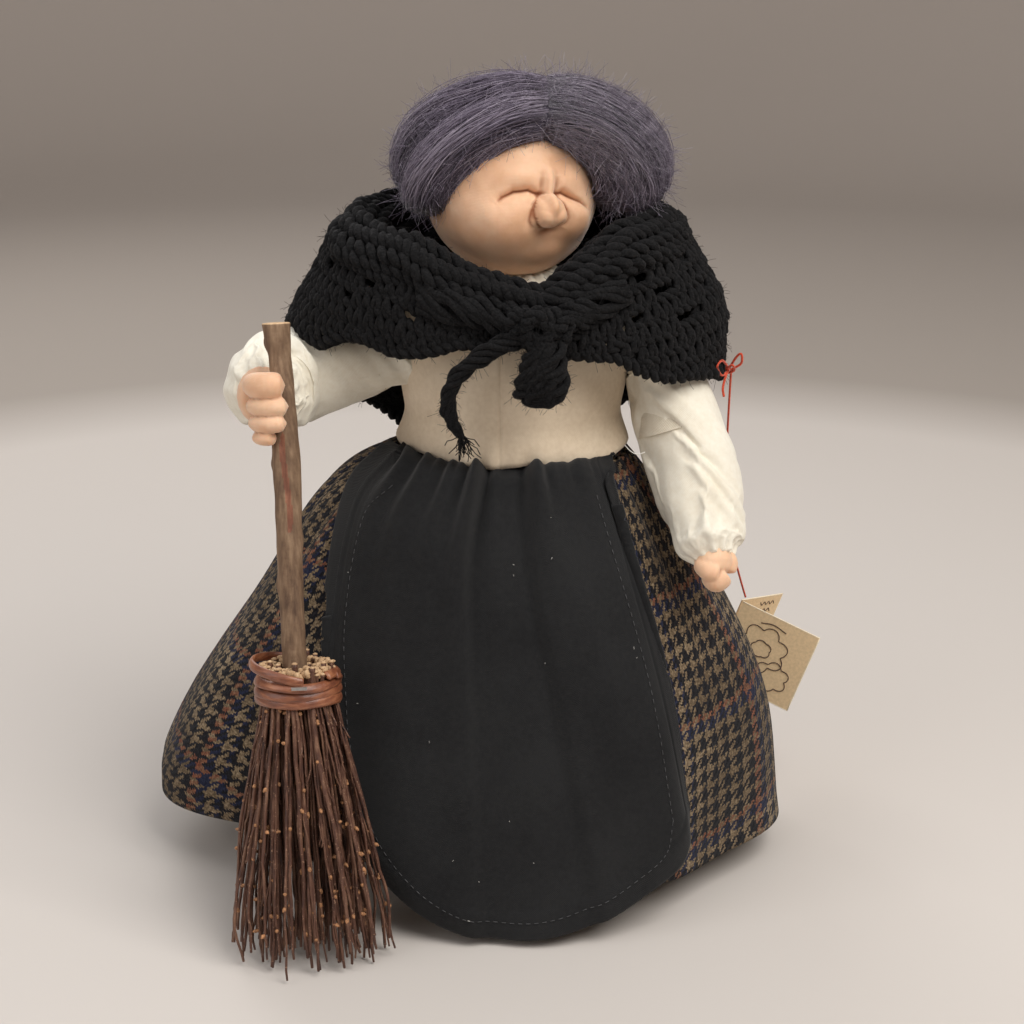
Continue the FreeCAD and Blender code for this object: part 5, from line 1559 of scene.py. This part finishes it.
# twigs: each has its own kinks, forks and buds, is cut pale at the top and pinched by the binding
rng = np.random.default_rng(71)
twig_paths, twig_radii, cut_tops, buds, forks, fork_radii = [], [], [], [], [], []
TWIGS = 140
for k in range(TWIGS):
    share = math.sqrt((k + 0.5) / TWIGS)
    turn = k * GOLDEN_TURN + rng.normal(0, 0.12)
    ring = 7.9 + 9.0 * max(0.0, (share - 0.15) / 0.85)
    c, s = math.cos(turn), math.sin(turn)
    top_along = 140.0 + rng.normal(0, 1.5)
    top = by_handle(top_along, c * ring * rng.uniform(0.95, 1.06), s * ring)
    tie_high, tie_low = by_handle(136, c * ring * 0.97, s * ring * 0.97), by_handle(127, c * ring * 0.97,
                                                                                    s * ring * 0.97)
    knee = by_handle(121, c * (ring + 1.2), s * (ring + 1.2))
    spread = share * rng.uniform(0.86, 1.12)
    foot = FOOT + np.array([39.0 * spread * c, -20.0 * spread * s, rng.uniform(0.9, 13.0)])
    middle = knee + (foot - knee) * 0.45 + np.array([c, -s, 0]) * rng.normal(1.0, 1.5)
    low = knee + (foot - knee) * 0.78 + np.array([c, -s, 0]) * rng.normal(1.0, 2.0)
    line = curve_through([top, tie_high, tie_low, knee, middle, low, foot], 34)
    kink = np.cumsum(rng.normal(0, 0.34, (34, 3)) * (1, 1, 0.2), 0)
    fade = smooth(0.30, 0.6, np.linspace(0, 1, 34))[:, None]
    zigzag = rng.choice([-1, 1]) * 0.55 * (np.abs((np.linspace(0, 9, 34) % 2) - 1)
                                           - 0.5)[:, None] * np.array([c + 0.4, s, 0])
    line = line + (kink - kink.mean(0)) * fade * 0.9 + zigzag * fade
    line[:, 2] = np.maximum(line[:, 2], 0.9)
    thickness = rng.uniform(0.85, 1.45)
    node_bulge = 1 + 0.16 * (np.sin(np.linspace(0, 31, 34) + k) > 0.8)
    twig_paths.append(line)
    twig_radii.append(np.linspace(thickness, thickness * 0.52, 34) * node_bulge)
    cut_tops.append([line[0] + AXIS * 0.1, line[0] + AXIS * 0.55])
    for _ in range(3 if share > 0.5 else 1):
        at = rng.integers(15, 31)
        way = unit(np.array([c, -s, 0]) * 0.5 + rng.normal(0, 0.5, 3) - np.array([0, 0, 0.5]))
        reach = rng.uniform(1.6, 3.6)
        buds.append([line[at] + way * 0.6, line[at] + way * reach * 0.6, line[at] + way * reach])
    for _ in range(2 if share > 0.35 else 1):
        at = rng.integers(12, 24)
        way = unit(line[min(at + 6, 33)] - line[at] + np.array([c, -s, 0.0]) * rng.uniform(0.6, 3.2)
                   + rng.normal(0, 1.1, 3))
        reach = rng.uniform(14, 42)
        t = np.linspace(0, 1, 12)[:, None]
        fork = line[at] + way * reach * t + np.cumsum(rng.normal(0, 0.45, (12, 3)), 0) * t
        centre = (fork - FOOT) / (42.0, 23.0, 1e9)
        outside = np.maximum(1.0, np.linalg.norm(centre[:, :2], axis=1, keepdims=True))
        fork[:, :2] = FOOT[:2] + (fork - FOOT)[:, :2] / outside
        fork[:, 2] = np.maximum(fork[:, 2], 0.7)
        forks.append(fork)
        fork_radii.append(np.linspace(thickness * 0.55, 0.42, 12))
twig_points, twig_faces = joined([tubes(np.array(twig_paths), np.array(twig_radii), sides=7),
                                  tubes(np.array(forks), np.array(fork_radii), sides=5)])
twigs = build("broom_birch_twigs", twig_points, twig_faces, TWIG)
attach(twigs, "broom")
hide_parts("broom_twigs")
for k in range(90):
    turn, ring = k * GOLDEN_TURN, 8.2 + 8.2 * math.sqrt((k + 0.5) / 90)
    place = by_handle(138.5 + rng.uniform(0, 2.6), math.cos(turn) * ring, math.sin(turn) * ring)
    lean = rng.normal(0, 0.5, 3)
    cut_tops.append([place - AXIS * 1.5, place + AXIS * rng.uniform(0.5, 2.0) + lean])
tops = build("broom_twig_cuts", *tubes(np.array(cut_tops),
                                       rng.uniform(1.15, 1.6, (len(cut_tops), 1)) * np.ones((1, 2)),
                                       sides=8), CUT_WOOD)
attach(tops, "broom")
BUD = simple("bud", (0.36, 0.17, 0.075), 0.7, 900.0, 0.45, 0.4, 0.0004)
bud_piece = build("broom_twig_buds", *tubes(np.array(buds), np.array([0.8, 1.0, 0.35])[None]
                                            * np.ones((len(buds), 1)), sides=6), BUD)
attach(bud_piece, "broom")

# the reed binding: flat turns, one higher loop to the doll's right, and a slanting end
turn = np.linspace(-0.4, 3.1 * TAU, 420)
reed_along = 125.8 + 4.1 * turn / TAU + 0.5 * np.sin(turn * 1.3) + 0.35 * np.sin(turn * 3.1)
ring = 18.6 + 0.5 * np.sin(turn * 2.2 + 1)
reeds = [(np.array([by_handle(h, math.cos(a) * r, math.sin(a) * r) for h, a,
                    r in zip(reed_along, turn, ring)]), 1.25)]
turn = np.linspace(math.pi * 0.42, math.pi * 1.62, 90)
loop_along = 137.0 + 7.0 * np.sin((turn - turn[0]) / (turn[-1] - turn[0]) * math.pi)
reeds.append((np.array([by_handle(h, math.cos(a) * r, math.sin(a) * r) for h, a,
                        r in zip(loop_along, turn, 19.3 + 1.4 * np.sin(np.linspace(0, math.pi, 90)))]),
              1.15))
turn = np.linspace(math.pi * 1.35, math.pi * 2.1, 50)
reeds.append((np.array([by_handle(h, math.cos(a) * 19.6, math.sin(a) * 19.6) for h,
                        a in zip(np.linspace(126, 137.5, 50), turn)]), 0.95))
reed_points, reed_faces = joined([tubes(path, np.full((1, len(path)), radius), sides=14, flat=1.95,
                                        reference=tuple(AXIS)) for path, radius in reeds])
binding = build("broom_reed_binding", reed_points, reed_faces, REED)
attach(binding, "broom")
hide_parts("broom_binding")

# ---------------------------------------------------------------- card tag
def leaf_frame(node):
    """A card leaf's near corner, its two edges and its facing normal, from its own mesh in millimetres."""
    places = np.array([v.co * 1000 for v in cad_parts[node].data.vertices])
    centre = (places.min(0) + places.max(0)) / 2
    _, _, axes = np.linalg.svd(places - places.mean(0), full_matrices=False)
    normal = axes[2] if axes[2][1] < 0 else -axes[2]
    fold = unit(np.array([math.sin(math.radians(20)), 0, math.cos(math.radians(20))]))
    fold = unit(fold - (fold @ normal) * normal)
    across = np.cross(fold, normal)
    if across[0] < 0:
        across = -across
    centre = places.mean(0)
    flat_across, flat_up = (places - centre) @ across, (places - centre) @ fold
    corner = centre + across * flat_across.min() + fold * flat_up.min()
    return corner, across * np.ptp(flat_across), fold * np.ptp(flat_up), normal, np.ptp((places - centre) @ normal)


def inked(name, node, body, lines):
    """Brown pen lines and a paler cut edge on one leaf of the card; lines are in parts of its width and height."""
    corner, across, up, normal, thick = leaf_frame(node)
    face = normal * (thick / 2 + 0.12)
    paths = [corner + face + across * np.asarray(line)[:, :1] + up * np.asarray(line)[:, 1:]
             for line in lines]
    parts = [tubes(path, 0.30, sides=5) for path in paths]
    drawing = build(name + "_drawing", *joined(parts), INK)
    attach(drawing, body)
    rim = [corner + across * x + up * z for x,
           z in ((0.004, 0.995), (0.995, 0.995), (0.995, 0.005), (0.004, 0.005))]
    edge = build(name + "_edge", *joined([tubes(np.linspace(a, b, 12), 0.42, sides=6) for a,
                                          b in zip(rim[:-1], rim[1:])]), CARD_EDGE)
    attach(edge, body)


def scallops(cx, cz, wide, high, petals, depth=0.16):
    """A closed scalloped outline."""
    t = np.linspace(0, TAU, 90)
    swell = 1 - depth + depth * np.abs(np.sin(petals * t / 2)) * 1.6
    return np.stack([cx + wide * swell * np.cos(t), cz + high * swell * np.sin(t)], -1)


inked("card_front", "tag_front_leaf", "tag_leaf", [
    scallops(0.42, 0.56, 0.30, 0.27, 7), scallops(0.42, 0.56, 0.12, 0.10, 5, 0.1),
                                                   scallops(0.66, 0.30, 0.20, 0.17, 6),
    curve_through([(0.44, 0.30), (0.40, 0.18), (0.46, 0.06)],
                  20), curve_through([(0.30, 0.86), (0.45, 0.90), (0.62, 0.87)], 20)])
inked("card_back", "tag_back_leaf", "tag", [
    curve_through([(0.50 + 0.05 * k, 0.90 + 0.02 * (-1) ** k) for k in range(8)], 60),
    curve_through([(0.46 + 0.05 * k, 0.80 + 0.02 * (-1) ** k) for k in range(8)], 60)])

curve = bpy.data.curves.new("tag_red_thread", "CURVE")
curve.dimensions = "3D"
curve.bevel_depth = 0.00055
curve.bevel_resolution = 3
curve.resolution_u = 24
curve.use_fill_caps = True
spline = curve.splines.new("NURBS")
spline.points.add(len(THREAD_ROUTE) - 1)
for point, place in zip(spline.points, THREAD_ROUTE):
    point.co = (*place, 1.0)
spline.order_u = 3
spline.use_endpoint_u = True
curve.materials.append(THREAD)
thread = bpy.data.objects.new("tag_red_thread", curve)
bpy.context.scene.collection.objects.link(thread)
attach(thread, "tag")
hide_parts("tag_thread")

# the thread's knot in the shawl: two small loops and two ends
bow = [curve_through(places, 24) for places in (
    [(105, -9, 258.5), (101, -15, 264), (98, -19, 262), (101, -16, 257), (105, -9, 258)],
    [(105, -9, 258.5), (108, -12, 265), (110, -14, 267), (110.5, -12, 262), (106, -9, 258)],
    [(105, -9, 258.5), (103, -14, 256), (101.5, -17, 251), (102, -18, 247)],
    [(104, -10, 259), (106, -14, 261.5), (107.5, -10, 258), (104.5, -7, 256), (103.5, -11, 259.5)])]
bow = build("tag_thread_bow", *joined([tubes(path, 0.62, sides=7) for path in bow]), THREAD)
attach(bow, "figure")

# a loose end of sewing thread at the waist
loose = curve_through([(54.0, -31, 226.5), (56.5, -34, 224.5), (60, -34, 222.8), (63.5, -33, 223.6)], 20)
loose = build("waist_loose_thread", *tubes(loose, 0.25, sides=5), WHITE_THREAD)
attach(loose, "figure")

# ---------------------------------------------------------------- floor, backdrop and light
# painted light falloff on the floor and backdrop: pale in a pool round the doll, darker in a band beyond it, and
# lighter again up the far wall
stage_falloff_recipe = Recipe("backdrop_painted_falloff", rough=0.75)
split = stage_falloff_recipe.nodes.new("ShaderNodeSeparateXYZ")
stage_falloff_recipe.links.new(stage_falloff_recipe.place(), split.inputs[0])
away = stage_falloff_recipe.math("SQRT", stage_falloff_recipe.plus(stage_falloff_recipe.math("POWER", split.outputs[0], 2.0),
                                                   stage_falloff_recipe.math("POWER", split.outputs[1], 2.0)))
away = stage_falloff_recipe.node("ShaderNodeMapRange", Value=away, From_Min=0.5, From_Max=3.4)
stage_falloff_recipe.put("Base Color", stage_falloff_recipe.ramp(away, (0.0, (0.60, 0.555, 0.515)),
                                                 (0.115, (0.60, 0.55, 0.505)),
                                                 (0.175, (0.37, 0.325, 0.285)),
                                                 (0.55, (0.37, 0.322, 0.283)), (1.0, (0.56, 0.49, 0.435))))
profile = [(0.0, 0.0), (0.4, 0.0), (0.8, 0.0), (1.2, 0.0), (2.2, 0.0)]
profile += [(2.2 + 1.2 * math.sin(k / 16 * math.pi / 2), 1.2 * (1 - math.cos(k / 16 * math.pi / 2)))
            for k in range(1, 17)]
profile += [(3.4, 4.0)]
turn = np.linspace(0, TAU, 97)[:-1]
stage_points = np.array([[(r * 1000 * math.cos(a) + 1e-4 * math.cos(a),
                           r * 1000 * math.sin(a) + 1e-4 * math.sin(a), z * 1000) for a in turn] for r,
                         z in profile])
faces, _, _ = grid_faces(len(profile), 96, wrap=True)
stage = build("stage_floor", stage_points, faces, stage_falloff_recipe.material)


def area_light(name, place, size, power, colour=(1, 1, 1), at=(0, 0, 0.18)):
    """One soft rectangular light aimed at the doll."""
    lamp = bpy.data.lights.new(name, "AREA")
    lamp.size, lamp.energy, lamp.color = size, power, colour
    made = bpy.data.objects.new(name, lamp)
    bpy.context.scene.collection.objects.link(made)
    made.location = place
    made.rotation_euler = (Vector(at) - Vector(place)).to_track_quat("-Z", "Y").to_euler()


area_light("key", (0.75, -0.75, 1.55), 1.1, 27.0, (1.0, 0.975, 0.94))
area_light("back", (-0.7, 1.35, 1.25), 1.0, 9.0, (1.0, 1.0, 1.0))
area_light("fill", (-1.2, -0.9, 0.9), 1.2, 8.0, (0.97, 0.98, 1.0))
world = bpy.data.worlds.new("world")
bpy.context.scene.world = world
world.use_nodes = True
world.node_tree.nodes["Background"].inputs[0].default_value = (0.95, 0.97, 1.0, 1.0)
world.node_tree.nodes["Background"].inputs[1].default_value = 0.66
bpy.context.scene.view_settings.view_transform = "Standard"
